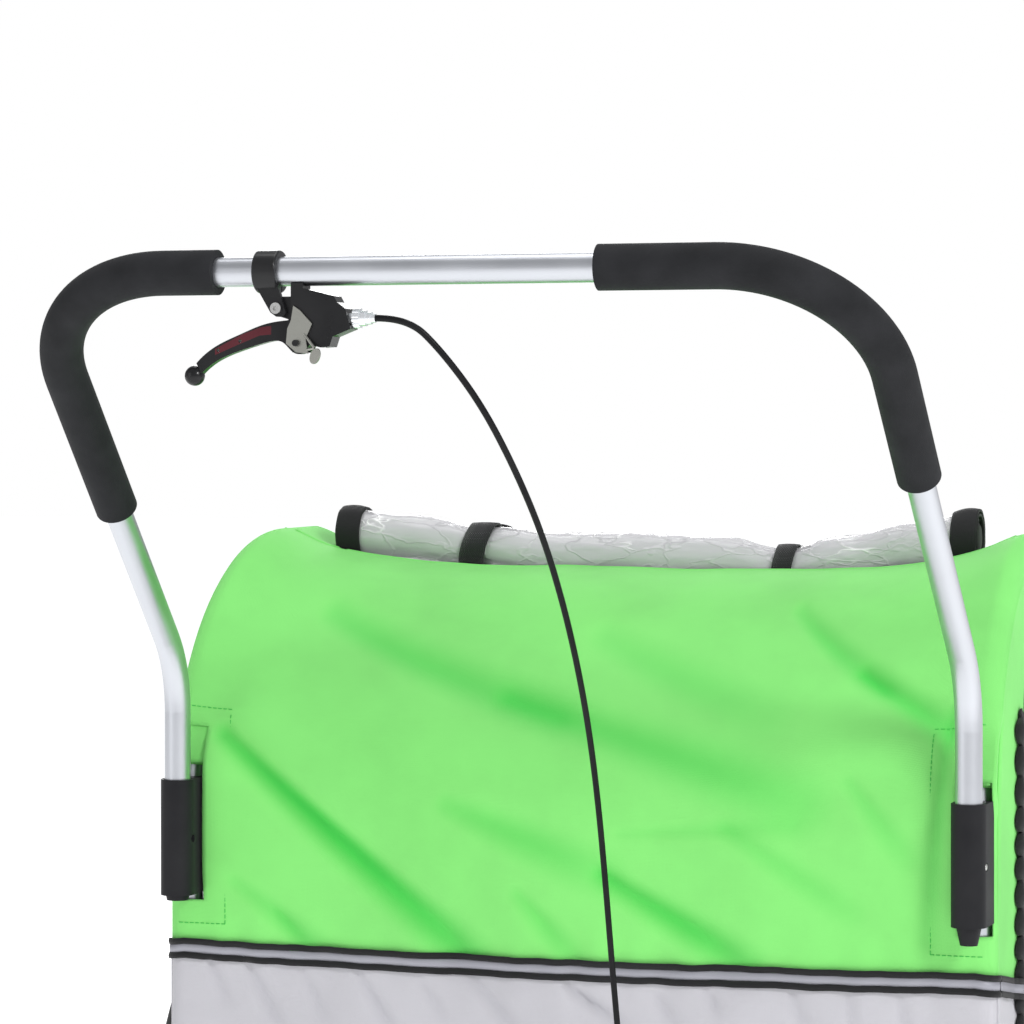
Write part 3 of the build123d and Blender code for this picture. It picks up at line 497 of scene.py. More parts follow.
def stage_and_light():
    scene = bpy.context.scene
    scene.view_settings.view_transform = "Standard"
    scene.view_settings.look = "None"
    world = bpy.data.worlds.new("Studio")
    scene.world = world
    world.use_nodes = True
    tree = world.node_tree
    sky = tree.nodes["Background"]
    sky.inputs["Color"].default_value = (0.97, 0.98, 1.0, 1)
    sky.inputs["Strength"].default_value = 0.50
    seen = node(tree, "ShaderNodeBackground", {"Color": (1, 1, 1, 1), "Strength": 1.0})
    path = node(tree, "ShaderNodeLightPath")
    mix = node(tree, "ShaderNodeMixShader")
    tree.links.new(path.outputs["Is Camera Ray"], mix.inputs[0])
    tree.links.new(sky.outputs[0], mix.inputs[1])
    tree.links.new(seen.outputs[0], mix.inputs[2])
    tree.links.new(mix.outputs[0], tree.nodes["World Output"].inputs["Surface"])

    mesh = bpy.data.meshes.new("Studio_Floor")
    far = 30.0
    mesh.from_pydata([(-far, -far, 0), (far, -far, 0), (far, far, 0), (-far, far, 0)], [], [(0, 1, 2, 3)])
    floor = bpy.data.objects.new("Studio_Floor", mesh)
    bpy.context.collection.objects.link(floor)
    mat, tree, bsdf = new_material("Floor_White")
    bsdf.inputs["Base Color"].default_value = (0.9, 0.9, 0.9, 1)
    bsdf.inputs["Roughness"].default_value = 0.9
    bsdf.inputs["Emission Color"].default_value = (1, 1, 1, 1)
    bsdf.inputs["Emission Strength"].default_value = 0.62
    mesh.materials.append(mat)

    def area(name, place, target, size, power):
        lamp = bpy.data.lights.new(name, "AREA")
        lamp.shape = "DISK"
        lamp.size = size
        lamp.energy = power
        made = bpy.data.objects.new(name, lamp)
        made.location = place
        made.rotation_euler = (Vector(target) - Vector(place)).to_track_quat("-Z", "Y").to_euler()
        bpy.context.collection.objects.link(made)

    middle = (0, 0.2, 0.6)
    area("Key_Light", (-2.9, 2.6, 2.9), middle, 1.1, 92)
    area("Fill_Light", (2.6, 3.4, 1.6), middle, 2.4, 16)
    area("Top_Light", (0.2, 0.2, 4.4), middle, 2.6, 46)
    area("Front_Light", (1.5, -4.0, 2.6), middle, 2.0, 60)


def camera():
    lens = bpy.data.cameras.new("Camera")
    lens.sensor_width = 36
    lens.lens = 123.75
    lens.shift_x = -0.0471
    lens.shift_y = -0.0826
    lens.clip_end = 100
    made = bpy.data.objects.new("Camera", lens)
    made.location = (-0.8353, 3.2571, 0.927)
    made.rotation_euler = Vector((0.2888, -0.9574, 0)).to_track_quat("-Z", "Y").to_euler()
    bpy.context.collection.objects.link(made)
    bpy.context.scene.camera = made


# ---------------------------------------------------------------- brake cable

CABLE_ROUTE = [
    (44, 812.758, 1007.5),
    (19, 812.758, 1007.5),
    (-4, 803, 983),
    (-27, 782, 945),
    (-43, 754, 900),
    (-54, 717, 849),
    (-58, 674, 794),
    (-58, 630, 737),
    (-56, 590, 679),
    (-54, 558, 616),
    (-54, 538, 550),
    (-56, 526, 483),
    (-60, 518, 415),
    (-62, 513, 347),
    (-61, 511, 280),
    (-57, 507, 222),
    (-50, 488, 180),
    (-38, 454, 163),
    (-28, 424, 165),
    (-28, 400, 165),
]


def brake_cable():
    curve = bpy.data.curves.new("Brake_Cable", "CURVE")
    curve.dimensions = "3D"
    spline = curve.splines.new("NURBS")
    spline.points.add(len(CABLE_ROUTE) - 1)
    for point, place in zip(spline.points, CABLE_ROUTE):
        point.co = (*[v / 1000 for v in place], 1)
    spline.order_u = 3
    spline.use_endpoint_u = True
    spline.resolution_u = 12
    curve.bevel_depth = 0.0025
    curve.bevel_resolution = 6
    curve.use_fill_caps = True
    curve.materials.append(JACKET)
    made = bpy.data.objects.new("Brake_Cable_Housing", curve)
    bpy.context.collection.objects.link(made)
    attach(made, "chassis")
    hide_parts("brake_cable")
    exit_at = [v / 1000 for v in CABLE_ROUTE[0]]


# ---------------------------------------------------------------- green cover

CREASES = [
    # start (x, z), end (x, z), width, depth
    ((0.308, 0.666), (0.085, 0.484), 0.0130, -0.0110),
    ((0.292, 0.690), (0.120, 0.560), 0.0220, 0.0045),
    ((0.240, 0.787), (0.021, 0.699), 0.0170, -0.0060),
    ((0.060, 0.715), (-0.195, 0.622), 0.0210, -0.0062),
    ((0.105, 0.610), (-0.030, 0.558), 0.0150, -0.0050),
    ((-0.030, 0.556), (-0.152, 0.489), 0.0120, -0.0085),
    ((-0.172, 0.800), (-0.255, 0.729), 0.0100, -0.0055),
    ((-0.240, 0.742), (-0.322, 0.680), 0.0110, -0.0070),
    ((0.043, 0.538), (-0.006, 0.487), 0.0100, -0.0042),
    ((-0.046, 0.592), (-0.189, 0.602), 0.0070, -0.0022),
    ((-0.135, 0.598), (-0.239, 0.535), 0.0110, -0.0032),
    ((-0.238, 0.640), (-0.285, 0.580), 0.0100, -0.0030),
    ((-0.010, 0.775), (-0.160, 0.700), 0.0200, -0.0036),
    ((0.295, 0.540), (0.215, 0.486), 0.0100, -0.0034),
    ((0.258, 0.515), (0.228, 0.486), 0.0070, -0.0028),
    ((-0.318, 0.700), (-0.302, 0.515), 0.0070, -0.0036),
    ((0.318, 0.473), (0.303, 0.440), 0.0050, -0.0038),
    ((0.284, 0.473), (0.252, 0.412), 0.0065, -0.0046),
    ((0.236, 0.470), (0.216, 0.430), 0.0050, -0.0034),
    ((0.184, 0.469), (0.148, 0.412), 0.0065, -0.0048),
    ((0.130, 0.467), (0.108, 0.434), 0.0050, -0.0034),
    ((0.082, 0.467), (0.038, 0.420), 0.0070, -0.0042),
    ((0.002, 0.466), (-0.045, 0.436), 0.0050, -0.0060),
    ((-0.074, 0.462), (-0.092, 0.436), 0.0060, -0.0036),
    ((-0.120, 0.466), (-0.127, 0.452), 0.0045, -0.0040),
    ((-0.236, 0.469), (-0.242, 0.440), 0.0050, -0.0030),
    ((-0.190, 0.469), (-0.204, 0.425), 0.0060, -0.0034),
    ((-0.280, 0.468), (-0.286, 0.410), 0.0060, -0.0034),
]


def crease_depth(x, z):
    total = 0.0
    for (x0, z0), (x1, z1), width, depth in CREASES:
        if not min(z0, z1) - 0.06 < z < max(z0, z1) + 0.06:
            continue
        dx, dz = x1 - x0, z1 - z0
        t = ((x - x0) * dx + (z - z0) * dz) / (dx * dx + dz * dz)
        near = min(1.0, max(0.0, t))
        away = math.hypot(x - x0 - near * dx, z - z0 - near * dz)
        spread = width * (0.7 + 0.6 * near)
        fade = math.sin(math.pi * min(1.0, max(0.02, 0.16 + 0.72 * near))) ** 0.6
        total += depth * fade * math.exp(-((away / spread) ** 2))
    return total


# How much painted shade the cloth's colour takes at a point, from the depth of the creases there.
def painted_fold_shade_at(x, z):
    return min(1.0, max(0.0, -crease_depth(x, z) / 0.0095 - 0.05))


def sag_at(x):
    """How far the unsupported top edge hangs between the hoops."""
    return 0.031 * (1 - min(1.0, abs(x / HOOP_X)) ** 4)


REAR_LINE = travel(outline(SKIN_OUT - 0.0008), 0.001)
REAR_LENGTHS = [0.0]
for a, b in zip(REAR_LINE, REAR_LINE[1:]):
    REAR_LENGTHS.append(REAR_LENGTHS[-1] + (b - a).length)


def line_at(distance):
    """Point and outward normal on the outline's rear and top, distance along it from the hem."""
    low, high = 0, len(REAR_LENGTHS) - 1
    while high - low > 1:
        middle = (low + high) // 2
        if REAR_LENGTHS[middle] <= distance:
            low = middle
        else:
            high = middle
    a, b = REAR_LINE[low], REAR_LINE[high]
    share = (distance - REAR_LENGTHS[low]) / max(1e-9, REAR_LENGTHS[high] - REAR_LENGTHS[low])
    ahead = (b - a).normalized()
    return a.lerp(b, share), Vector((ahead.y, -ahead.x))


def on_rear(x, distance, lift=0.0):
    """A point on the draped rear panel, x across and distance up it from the hem."""
    at, out = line_at(distance)
    z = at.y
    edge = max(0.0, min(1.0, (PANEL_X - abs(x)) / 0.05))
    d = crease_depth(x, z) * smoothstep(0.0, 0.4, edge + 0.25)
    d += 0.0022 * ripple(x, 0.0, z, 7.0, 3.1) * edge
    d += 0.0009 * ripple(x, 0.3, z, 24.0, 9.2) * edge
    band = math.exp(-(((z - BAND_Z) / 0.03) ** 2))
    d += 0.0011 * band * math.sin(x * 150 + 4 * ripple(x, 0, 0, 6.0)) * edge
    d -= 0.0015 * math.exp(-(((z - BAND_Z) / 0.012) ** 2))
    clamp = smoothstep(0.612, 0.643, z) * (1 - smoothstep(0.674, 0.705, z)) * smoothstep(0.28, 0.315, abs(x))
    joint = 1 - smoothstep(JOINT_TOP_Z, JOINT_TOP_Z + 0.035, z)
    over = min(abs(x) - HOOP_X, SKIN_OUT)
    if over > 0:
        d -= (SKIN_OUT - math.sqrt(SKIN_OUT**2 - over**2)) * (1 - max(clamp, joint))
        x += math.copysign(CORNER_STRETCH * over, x)
    d += 0.0024 * clamp
    d += 0.0035 * math.exp(-(((abs(x) - 0.334) / 0.02) ** 2)) * smoothstep(0.79, 0.829, z)
    hang = smoothstep(0.62, 0.815, z) if at.x > ARC_CENTRE.y else 1.0
    sag = sag_at(x) * hang
    d += lift
    return Vector((x, at.x + out.x * d - 0.35 * sag * (1 - hang * 0.5), z + out.y * d - sag))


def round_corner(x, distance):
    """A point on the rear panel that, past its edge, turns in along the cabin's side."""
    over = abs(x) - PANEL_X
    if over <= 0:
        return on_rear(x, distance)
    point = on_rear(math.copysign(PANEL_X, x), distance)
    inward = Vector((ARC_CENTRE.y - point.y, ARC_CENTRE.z - point.z))
    if point.z < ARC_CENTRE.z:
        inward = Vector((-1, 0))
    elif point.y < ARC_CENTRE.y:
        inward = Vector((0, -1))
    inward.normalize()
    point.x -= math.copysign(0.0013 * smoothstep(0.003, WRAP, over), x)
    return point + Vector((0, inward.x * over, inward.y * over))


def distance_at_height(z):
    return z - HEM_Z


def rear_cover():
    top = next(s for p, s in zip(REAR_LINE, REAR_LENGTHS) if p.x <= ROOF_EDGE_Y + 0.001 and p.y > 0.7)
    start = distance_at_height(BAND_Z)
    reach = PANEL_X + WRAP
    fine = [s * (HOOP_X + SKIN_OUT * i / 8) for s in (-1, 1) for i in range(9)]
    edges = [side * x for side, slit in SLITS.items() for x in slit[:2]]
    across = steps(-reach, reach, GRID, (*edges, *fine))
    heights = [distance_at_height(z) for slit in SLITS.values() for z in slit[2:]]
    along = steps(start, top + SHOULDER_LENGTH, GRID, (*heights, top))

    def keep(x, s):
        if s > top:
            return abs(x) > SHOULDER_INNER_X
        inner, outer, low_z, high_z = SLITS[1 if x > 0 else -1]
        return not (inner < abs(x) < outer and distance_at_height(low_z) < s < distance_at_height(high_z))

    def place(x, s):
        point = round_corner(x, s)
        if abs(x) > PANEL_X:
            return point
        inner, _, low_z, high_z = SLITS[1 if x > 0 else -1]
        gape = math.exp(-(((abs(x) - inner) / 0.02) ** 2)) * smoothstep(low_z - 0.01, low_z + 0.03, point.z)
        gape *= 1 - smoothstep(high_z - 0.03, high_z + 0.01, point.z)
        point.y += 0.004 * gape
        return point

    # The fold attribute paints shade into the green along the creases.
    made = grid_sheet("Rear_Cover_Cloth", across, along, place, GREEN, keep,
                      fold=lambda x, s: painted_fold_shade_at(x, line_at(s)[0].y))
    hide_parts("rear_cover")

    runs = []
    for s in (1, -1):
        inner = 0.304 * s
        low, high = distance_at_height(0.504), distance_at_height(0.690)
        outer = 0.351 * s
        runs += [((inner, low), (inner, high)), ((inner, high), (outer, high)), ((inner, low), (outer, low))]
        inner_x, _, low_z, high_z = SLITS[s]
        near = (inner_x - 0.0035) * s
        runs.append(((near, distance_at_height(low_z)), (near, distance_at_height(high_z))))
    thread = stitches("Patch_Stitching", runs, lambda x, d: on_rear(x, d, 0.0008), GREEN_THREAD)

    for side, s in (("Left", 1), ("Right", -1)):
        low, high = distance_at_height(0.641), distance_at_height(0.690)
        inner = grid_sheet(f"{side}_Slit_Lining", steps(0.316 * s, 0.351 * s, GRID), steps(low, high, GRID),
                           lambda x, d: on_rear(x, d, -0.0010 + 0.0003 * ripple(x, 0, d, 40.0)), GREEN)

    hem = [on_rear(x, top - 0.001) for x in steps(-PANEL_X + 0.002, PANEL_X - 0.002, 0.01)]
    rolled = tube_along("Rear_Cover_Top_Hem", hem, 0.0017, GREEN)
    for side, s in (("Left", 1), ("Right", -1)):
        rings = []
        for z in steps(0.637, 0.675, 0.006):
            lean = max(0.0, z - ARC_CENTRE.z)
            rings.append(Vector((s * HOOP_X, ARC_CENTRE.y + math.sqrt(HOOP_REAR_R**2 - lean**2), z)))
        radius = lambda t: 0.0137 + 0.0002 * math.sin(40 * t)
        sleeve = tube_along(f"{side}_Hoop_Sleeve", rings, radius, GREEN, sides=20)


def tucked(points):
    """The outline drawn in behind and above, where the rear cover wraps over the side's edge."""
    moved = []
    for i, p in enumerate(points):
        ahead = (points[min(i + 1, len(points) - 1)] - points[max(i - 1, 0)]).normalized()
        out = Vector((ahead.y, -ahead.x))
        behind = smoothstep(SHOULDER_Y - 0.01, SHOULDER_Y + 0.01, p.x)
        moved.append(p - out * (TUCK * behind))
    return moved


def side_drop(y):
    """How far the seam between the green and the grey cloth dips behind the window."""
    return 0.003 + 0.18 * min(0.10, max(0.0, POST_Y - y))


def window_outline():
    """The window's edge as (y, z) points, with rounded corners."""
    corners, _ = outline_corners(-0.052)
    slope_a, slope_b = corners[2], corners[3]

    def front(z):
        return slope_a.x + (slope_b.x - slope_a.x) * (z - slope_a.y) / (slope_b.y - slope_a.y)

    low, high, rear = BAND_Z + 0.032, HOOP_TOP_Z - 0.085, 0.326
    shape = [Vector(p) for p in ((rear, low), (rear, high), (front(high), high), (front(low), low))]
    rounded = []
    for i, corner in enumerate(shape):
        back = (shape[i - 1] - corner).normalized()
        ahead = (shape[(i + 1) % 4] - corner).normalized()
        a, c = corner + back * CORNER_REACH, corner + ahead * CORNER_REACH
        for k in range(9):
            t = k / 8
            rounded.append(a * (1 - t) ** 2 + corner * 2 * t * (1 - t) + c * t * t)
    return rounded


def filled_side(name, rim, hole, s, x_at, material, thickness=0.0012):
    """A flat side panel from its edge and its hole, meshed finely enough to ripple."""
    mesh = bmesh.new()
    loops = []
    for loop in [rim] + ([hole] if hole else []):
        ring = [mesh.verts.new((s * SIDE_X, p.x, p.y)) for p in loop]
        loops += [mesh.edges.new((a, b)) for a, b in zip(ring, ring[1:] + ring[:1])]
    bmesh.ops.triangle_fill(mesh, use_beauty=True, use_dissolve=False, edges=loops)
    size = 0.03
    for _ in range(3):
        long = [e for e in mesh.edges if e.calc_length() > size]
        bmesh.ops.subdivide_edges(mesh, edges=long, cuts=1)
        bmesh.ops.triangulate(mesh, faces=mesh.faces)
        size *= 0.7
    for v in mesh.verts:
        v.co.x = s * x_at(v.co.y, v.co.z)
    bmesh.ops.recalc_face_normals(mesh, faces=mesh.faces)
    data = bpy.data.meshes.new(name)
    mesh.to_mesh(data)
    mesh.free()
    data.shade_smooth()
    made = link(name, data, material)
    return thicken(made, thickness, 0.0)


def area_of(loop):
    turns = (a.x * b.y - b.x * a.y for a, b in zip(loop, loop[1:] + loop[:1]))
    return abs(sum(turns)) / 2


def side_panels():
    rim = tucked(travel(outline(SKIN_OUT), 0.012))
    hole = travel([*window_outline(), window_outline()[0]], 0.012)[:-1]
    upper = [p for p in rim if p.y > BAND_Z]
    seam = [Vector((y, BAND_Z - side_drop(y))) for y in steps(BINDING_Y - 0.002, upper[0].x, 0.012)]
    seam.insert(0, Vector((BINDING_Y - 0.003, BAND_Z)))
    upper = [*seam, *upper[1:], Vector((upper[-1].x, BAND_Z))]
    below = [p for p in rim if p.y < BAND_Z]
    rear = [p for p in below if p.x > 0.3 and p.y < BAND_Z - 0.003]
    front = [p for p in below if p.x < 0.3]
    lower = [*rear, *reversed(seam), Vector((front[0].x, BAND_Z)), *front]
    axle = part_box("axle_tube")
    axle_y, axle_z = (axle[0][1] + axle[1][1]) / 2, (axle[0][2] + axle[1][2]) / 2
    eye = [Vector((axle_y + 0.0165 * math.cos(a), axle_z + 0.0165 * math.sin(a)))
           for a in [2 * math.pi * i / 24 for i in range(24)]]

    def upper_x(y, z):
        return SIDE_X + 0.0006 * ripple(0, y, z, 9.0, 5.0)

    def lower_x(y, z):
        fold = 0.0006 * math.sin(y * 60 + 3 * ripple(0, y, z, 5.0))
        return SIDE_X + fold * smoothstep(0.0, 0.1, z - HEM_Z)

    for side, s in (("Left", 1), ("Right", -1)):
        top = filled_side(f"{side}_Side_Cloth", upper, hole, s, upper_x, GREEN)
        skirt = filled_side(f"{side}_Skirt_Cloth", lower, eye, s, lower_x, GREY)
        area_of(upper) - area_of(hole)
        area_of(lower) - area_of(eye)
        if s > 0:
            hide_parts("side_covers")
            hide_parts("lower_skirts")
        edge = [Vector((s * (SIDE_X + 0.0008), p.x, p.y)) for p in hole]
        binding = tube_along(f"{side}_Window_Binding", edge, 0.0052, EDGING, closed=True, squash=0.25)
        pane = filled_side(f"{side}_Window_Pane", hole, None, s,
                           lambda y, z: SIDE_X - 0.0002 + 0.0005 * ripple(0, y, z, 14.0, 1.0),
                           WINDOW_FILM, 0.0004)
        if s > 0:
            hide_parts("side_windows")
        edge_line = travel(outline(SKIN_OUT + 0.0004), 0.006)
        piped = [Vector((s * (SIDE_X - 0.0004), p.x, p.y))
                 for p in edge_line if p.y > BAND_Z and p.x < SHOULDER_Y]
        piping = tube_along(f"{side}_Seam_Piping", piped, 0.0016, GREEN)
        ruffled_edging(side, s)


def ruffled_edging(side, s):
    """The gathered black edging that runs down the side behind the window."""
    verts = []
    low, high = 0.30, 0.694
    count = 240
    for i in range(count + 1):
        z = low + (high - low) * i / count
        bend = z * 285 + 2.6 * ripple(0, 0, z, 14.0, 4.0)
        swell = abs(math.sin(bend / 2)) ** 0.55
        tip = smoothstep(0.0, 0.016, min(high - z, z - low) + 0.003)
        reach = (0.005 + 0.019 * swell) * tip
        out = (0.0030 + 0.0034 * swell) * tip
        for y, lift in ((reach, 0.0006), (reach * 0.7, out), (reach * 0.3, 0.6 * out + 0.001),
                        (-0.004, out * 0.8 + 0.0008), (-0.0085, 0.0006)):
            verts.append(Vector((s * (SIDE_X + 0.0012 + lift), BINDING_Y + y, z)))
    made = from_lists(f"{side}_Ruffled_Edging", verts, lattice(count + 1, 5), EDGING)
    thicken(made, 0.0008, 0.0)


# ---------------------------------------------------------------- grey skirts and reflective strip

def skirts_and_strip():
    bottom, top = 0.0, distance_at_height(BAND_Z)

    def rear_place(x, s):
        point = round_corner(x, s)
        drop = 1 - s / top
        fold = 0.0010 * math.sin(x * 46 + 3.5 * ripple(x, 0, 0, 4.0, 8.0))
        fold += 0.0014 * ripple(x, 0, s, 11.0, 2.0)
        fold *= 1 - math.exp(-(((top - s) / 0.025) ** 2))
        edge = max(0.0, min(1.0, (PANEL_X - abs(x)) / 0.04))
        point.y += fold * smoothstep(0.0, 0.25, 1 - drop * 0.8) * edge
        return point

    across = steps(-PANEL_X - WRAP, PANEL_X + WRAP, GRID * 1.5,
                   [s * (HOOP_X + SKIN_OUT * i / 8) for s in (-1, 1) for i in range(9)])
    # The fold attribute paints shade into the grey along the creases.
    rear = grid_sheet("Rear_Skirt_Cloth", across, steps(bottom, top, GRID * 1.5), rear_place, GREY,
                      fold=lambda x, s: painted_fold_shade_at(x, HEM_Z + s))

    front_y = FRONT_POST_Y - SKIN_OUT + 0.0008
    heights = steps(HEM_Z, LIP_Z - 0.012, GRID * 2)

    def front_place(x, z):
        wave = 0.0012 * ripple(x, 0, z, 9.0, 6.0) * max(0.0, min(1.0, (PANEL_X - abs(x)) / 0.04))
        return Vector((x, front_y + wave, z))

    front = grid_sheet("Front_Skirt_Cloth", steps(-PANEL_X, PANEL_X, GRID * 2), heights, front_place, GREY)
    lip = [Vector((x, front_y, LIP_Z - 0.012)) for x in steps(-PANEL_X + 0.001, PANEL_X - 0.001, 0.02)]
    tube_along("Front_Lip_Binding", lip, 0.0045, EDGING, squash=0.5)

    floor_y = (FRONT_POST_Y - SKIN_OUT, POST_Y + SKIN_OUT)
    sheet_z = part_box("lower_skirts")[0][2] + 0.001

    def floor_place(x, y):
        return Vector((x, y, sheet_z + 0.0003 * ripple(x, y, 0, 6.0)))

    base = grid_sheet("Floor_Cloth", steps(-0.3565, 0.3565, GRID * 4), steps(*floor_y, GRID * 4),
                      floor_place, SEAT, thickness=0.0016)

    tape_half = 0.0036
    edge_half = (BAND_HIGH - BAND_LOW) / 2

    def ribbon(name, low, high, lift, material, wavy):
        verts = []
        corner = SKIN_OUT * math.pi / 2
        xs = steps(-HOOP_X - corner, HOOP_X + corner, 0.003, (-HOOP_X, HOOP_X))
        for u in xs:
            turn = max(0.0, abs(u) - HOOP_X) / SKIN_OUT
            x = max(-HOOP_X, min(HOOP_X, u))
            shake = 0.0006 * ripple(x, 1.0, low * 30, 60.0, 2.0) if wavy else 0.0
            drop = 0.004 * (1 - (x / HOOP_X) ** 2) + 0.0012 * ripple(x, 0, 0, 9.0, 7.0) + 0.0019 * turn
            for z, push in ((low + shake, 0.0), ((low + high) / 2, lift * 0.35), (high + shake, 0.0)):
                flat = on_rear(x, distance_at_height(z)).y + 0.0020 + lift + push
                r = flat - POST_Y + 0.0030 * math.sin(turn)
                verts.append(Vector((x + math.copysign(r * math.sin(turn), x), POST_Y + r * math.cos(turn),
                                     z - drop)))
        made = from_lists(name, verts, lattice(len(xs), 3), material)
        return thicken(made, 0.0005, 0.0)

    tape = ribbon("Reflective_Tape_Rear", BAND_Z - tape_half, BAND_Z + tape_half, 0.0012, REFLECTIVE,
                  False)
    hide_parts("reflective_strips")
    ribbon("Tape_Edging_Upper", BAND_Z + tape_half, BAND_Z + edge_half, 0.0016, EDGING, True)
    ribbon("Tape_Edging_Lower", BAND_Z - edge_half, BAND_Z - tape_half, 0.0016, EDGING, True)
    for side, s in (("Left", 1), ("Right", -1)):
        for label, low, high, material in (("Reflective_Tape", -tape_half, tape_half, REFLECTIVE),
                                           ("Tape_Edging_Upper", tape_half, edge_half, EDGING),
                                           ("Tape_Edging_Lower", -edge_half, -tape_half, EDGING)):
            verts = []
            ys = steps(BINDING_Y - 0.006, POST_Y + 0.001, 0.006)
            for y in ys:
                over = 0.0052 * (1 - smoothstep(0.026, 0.036, y - BINDING_Y))
                for z in (BAND_Z + low - side_drop(y), BAND_Z + high - side_drop(y)):
                    x = SIDE_X + 0.0030 + over
                    z += 0.0003 * ripple(y, z, s, 50.0) - 0.0012 * ripple(s * HOOP_X, 0, 0, 9.0, 7.0)
                    verts.append(Vector((s * x, y, z)))
            made = from_lists(f"{label}_{side}", verts, lattice(len(ys), 2), material)
            thicken(made, 0.0006, 0.0)


# ---------------------------------------------------------------- rolled rain cover

ROLL_Y = 0.194
ROLL_LINE = [(0.292, 0.829), (0.240, 0.8265), (0.165, 0.819), (0.090, 0.811), (0.010, 0.811),
             (-0.060, 0.8085), (-0.122, 0.801), (-0.180, 0.811), (-0.235, 0.822), (-0.292, 0.830)]
ROLL_END_X = 0.2965
BINDING_WIDTH = 0.0225
STRAP_LEFT_X = 0.165
STRAP_RIGHT_X = -0.122


def roll_centre(x):
    for (x0, z0), (x1, z1) in zip(ROLL_LINE, ROLL_LINE[1:]):
        if x >= x1:
            t = (x0 - x) / (x0 - x1)
            t = t * t * (3 - 2 * t)
            return z0 + (z1 - z0) * t
    return ROLL_LINE[-1][1]


def roll_radius(x):
    pinch = 0.0045 * math.exp(-(((x - STRAP_LEFT_X) / 0.022) ** 2))
    pinch += 0.0035 * math.exp(-(((x - STRAP_RIGHT_X) / 0.022) ** 2))
    flare = 0.0035 * smoothstep(0.22, 0.30, abs(x))
    return 0.0225 + flare - pinch


def rain_cover():
    xs = steps(-ROLL_END_X + 0.006, ROLL_END_X - 0.006, 0.004)
    turns, sides = 2.6, 96
    verts = []
    for x in xs:
        for k in range(sides + 1):
            share = k / sides
            a = 2 * math.pi * turns * share + 0.4
            r = roll_radius(x) * (0.62 + 0.38 * share)
            crinkle = 0.0016 * ripple(x, math.cos(a), math.sin(a), 16.0, 1.0)
            crinkle += 0.0012 * ripple(x * 2.5, math.cos(a) * 2, math.sin(a) * 2, 22.0, 5.0)
            r += crinkle * (0.4 + 0.6 * share)
            verts.append(Vector((x, ROLL_Y + r * math.sin(a), roll_centre(x) + r * math.cos(a))))
    film = from_lists("Rain_Cover_Film", verts, lattice(len(xs), sides + 1), ROLL_FILM)
    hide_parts("rain_cover_roll")
    unrolled = 2 * math.pi * turns * 0.81 * roll_radius(0)

    for side, s in (("Left", 1), ("Right", -1)):
        verts = []
        ring_x = steps(ROLL_END_X - BINDING_WIDTH, ROLL_END_X, 0.0025)
        for x in ring_x:
            puff = 0.0012 * math.sin(math.pi * (ROLL_END_X - x) / BINDING_WIDTH)
            for k in range(sides + 1):
                share = k / sides
                a = 2 * math.pi * turns * share + 0.4
                r = roll_radius(s * x) * (0.60 + 0.40 * share) + 0.0012 + puff
                r += 0.0010 * ripple(x, math.cos(a), math.sin(a), 5.0, s)
                verts.append(Vector((s * x, ROLL_Y + r * math.sin(a), roll_centre(s * x) + r * math.cos(a))))
        band = from_lists(f"{side}_Roll_End_Binding", verts, lattice(len(ring_x), sides + 1), EDGING)
        thicken(band, 0.0022, 0.0)
        if s > 0:
            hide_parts("roll_bindings")
        centre = Vector((s * (ROLL_END_X - 0.008), ROLL_Y, roll_centre(s * ROLL_END_X)))
        core = [centre + Vector((s * d, 0, 0)) for d in (-0.010, 0.0, 0.006, 0.0075)]
        radii = [0.0135, 0.0140, 0.0138, 0.011]
        plug = tube_along(f"{side}_Roll_Core", core, lambda t, r=radii: r[min(3, int(t * 4))], EDGING,
                          sides=28)

    rows = 48
    over_width = (-0.5, -0.17, 0.17, 0.5)
    for label, x, width, tail in (("Left", STRAP_LEFT_X, 0.024, 0.010),
                                  ("Right", STRAP_RIGHT_X, 0.018, 0.026)):
        verts = []
        for k in range(rows + 1):
            a = 2 * math.pi * k / rows - 0.5
            r = roll_radius(x) + 0.0022 + 0.0004 * math.sin(5 * a)
            lean = 0.006 * math.cos(a) if label == "Left" else 0.003 * math.cos(a)
            for e in over_width:
                px = x + e * width - lean
                rr = r + 0.0006 * (1 - (2 * e) ** 2)
                verts.append(Vector((px, ROLL_Y + rr * math.sin(a), roll_centre(x) + rr * math.cos(a))))
        for i in range(4):
            share = i / 3
            a = -0.5 + 2 * math.pi - 0.5 * share
            for e in over_width:
                r = roll_radius(x) + 0.0034 + 0.004 * share
                verts.append(Vector((x + e * width - 0.006 - tail * share,
                                     ROLL_Y + r * math.sin(a), roll_centre(x) + r * math.cos(a))))
        round_the_roll = lattice(rows + 1, 4)
        loose_end = [tuple(a + 4 * (rows + 1) for a in face) for face in lattice(4, 4)]
        faces = [*round_the_roll, *loose_end]
        strap = from_lists(f"{label}_Roll_Strap", verts, faces, WEBBING)
        thicken(strap, 0.0014, 0.0)


# ---------------------------------------------------------------- seat and harness

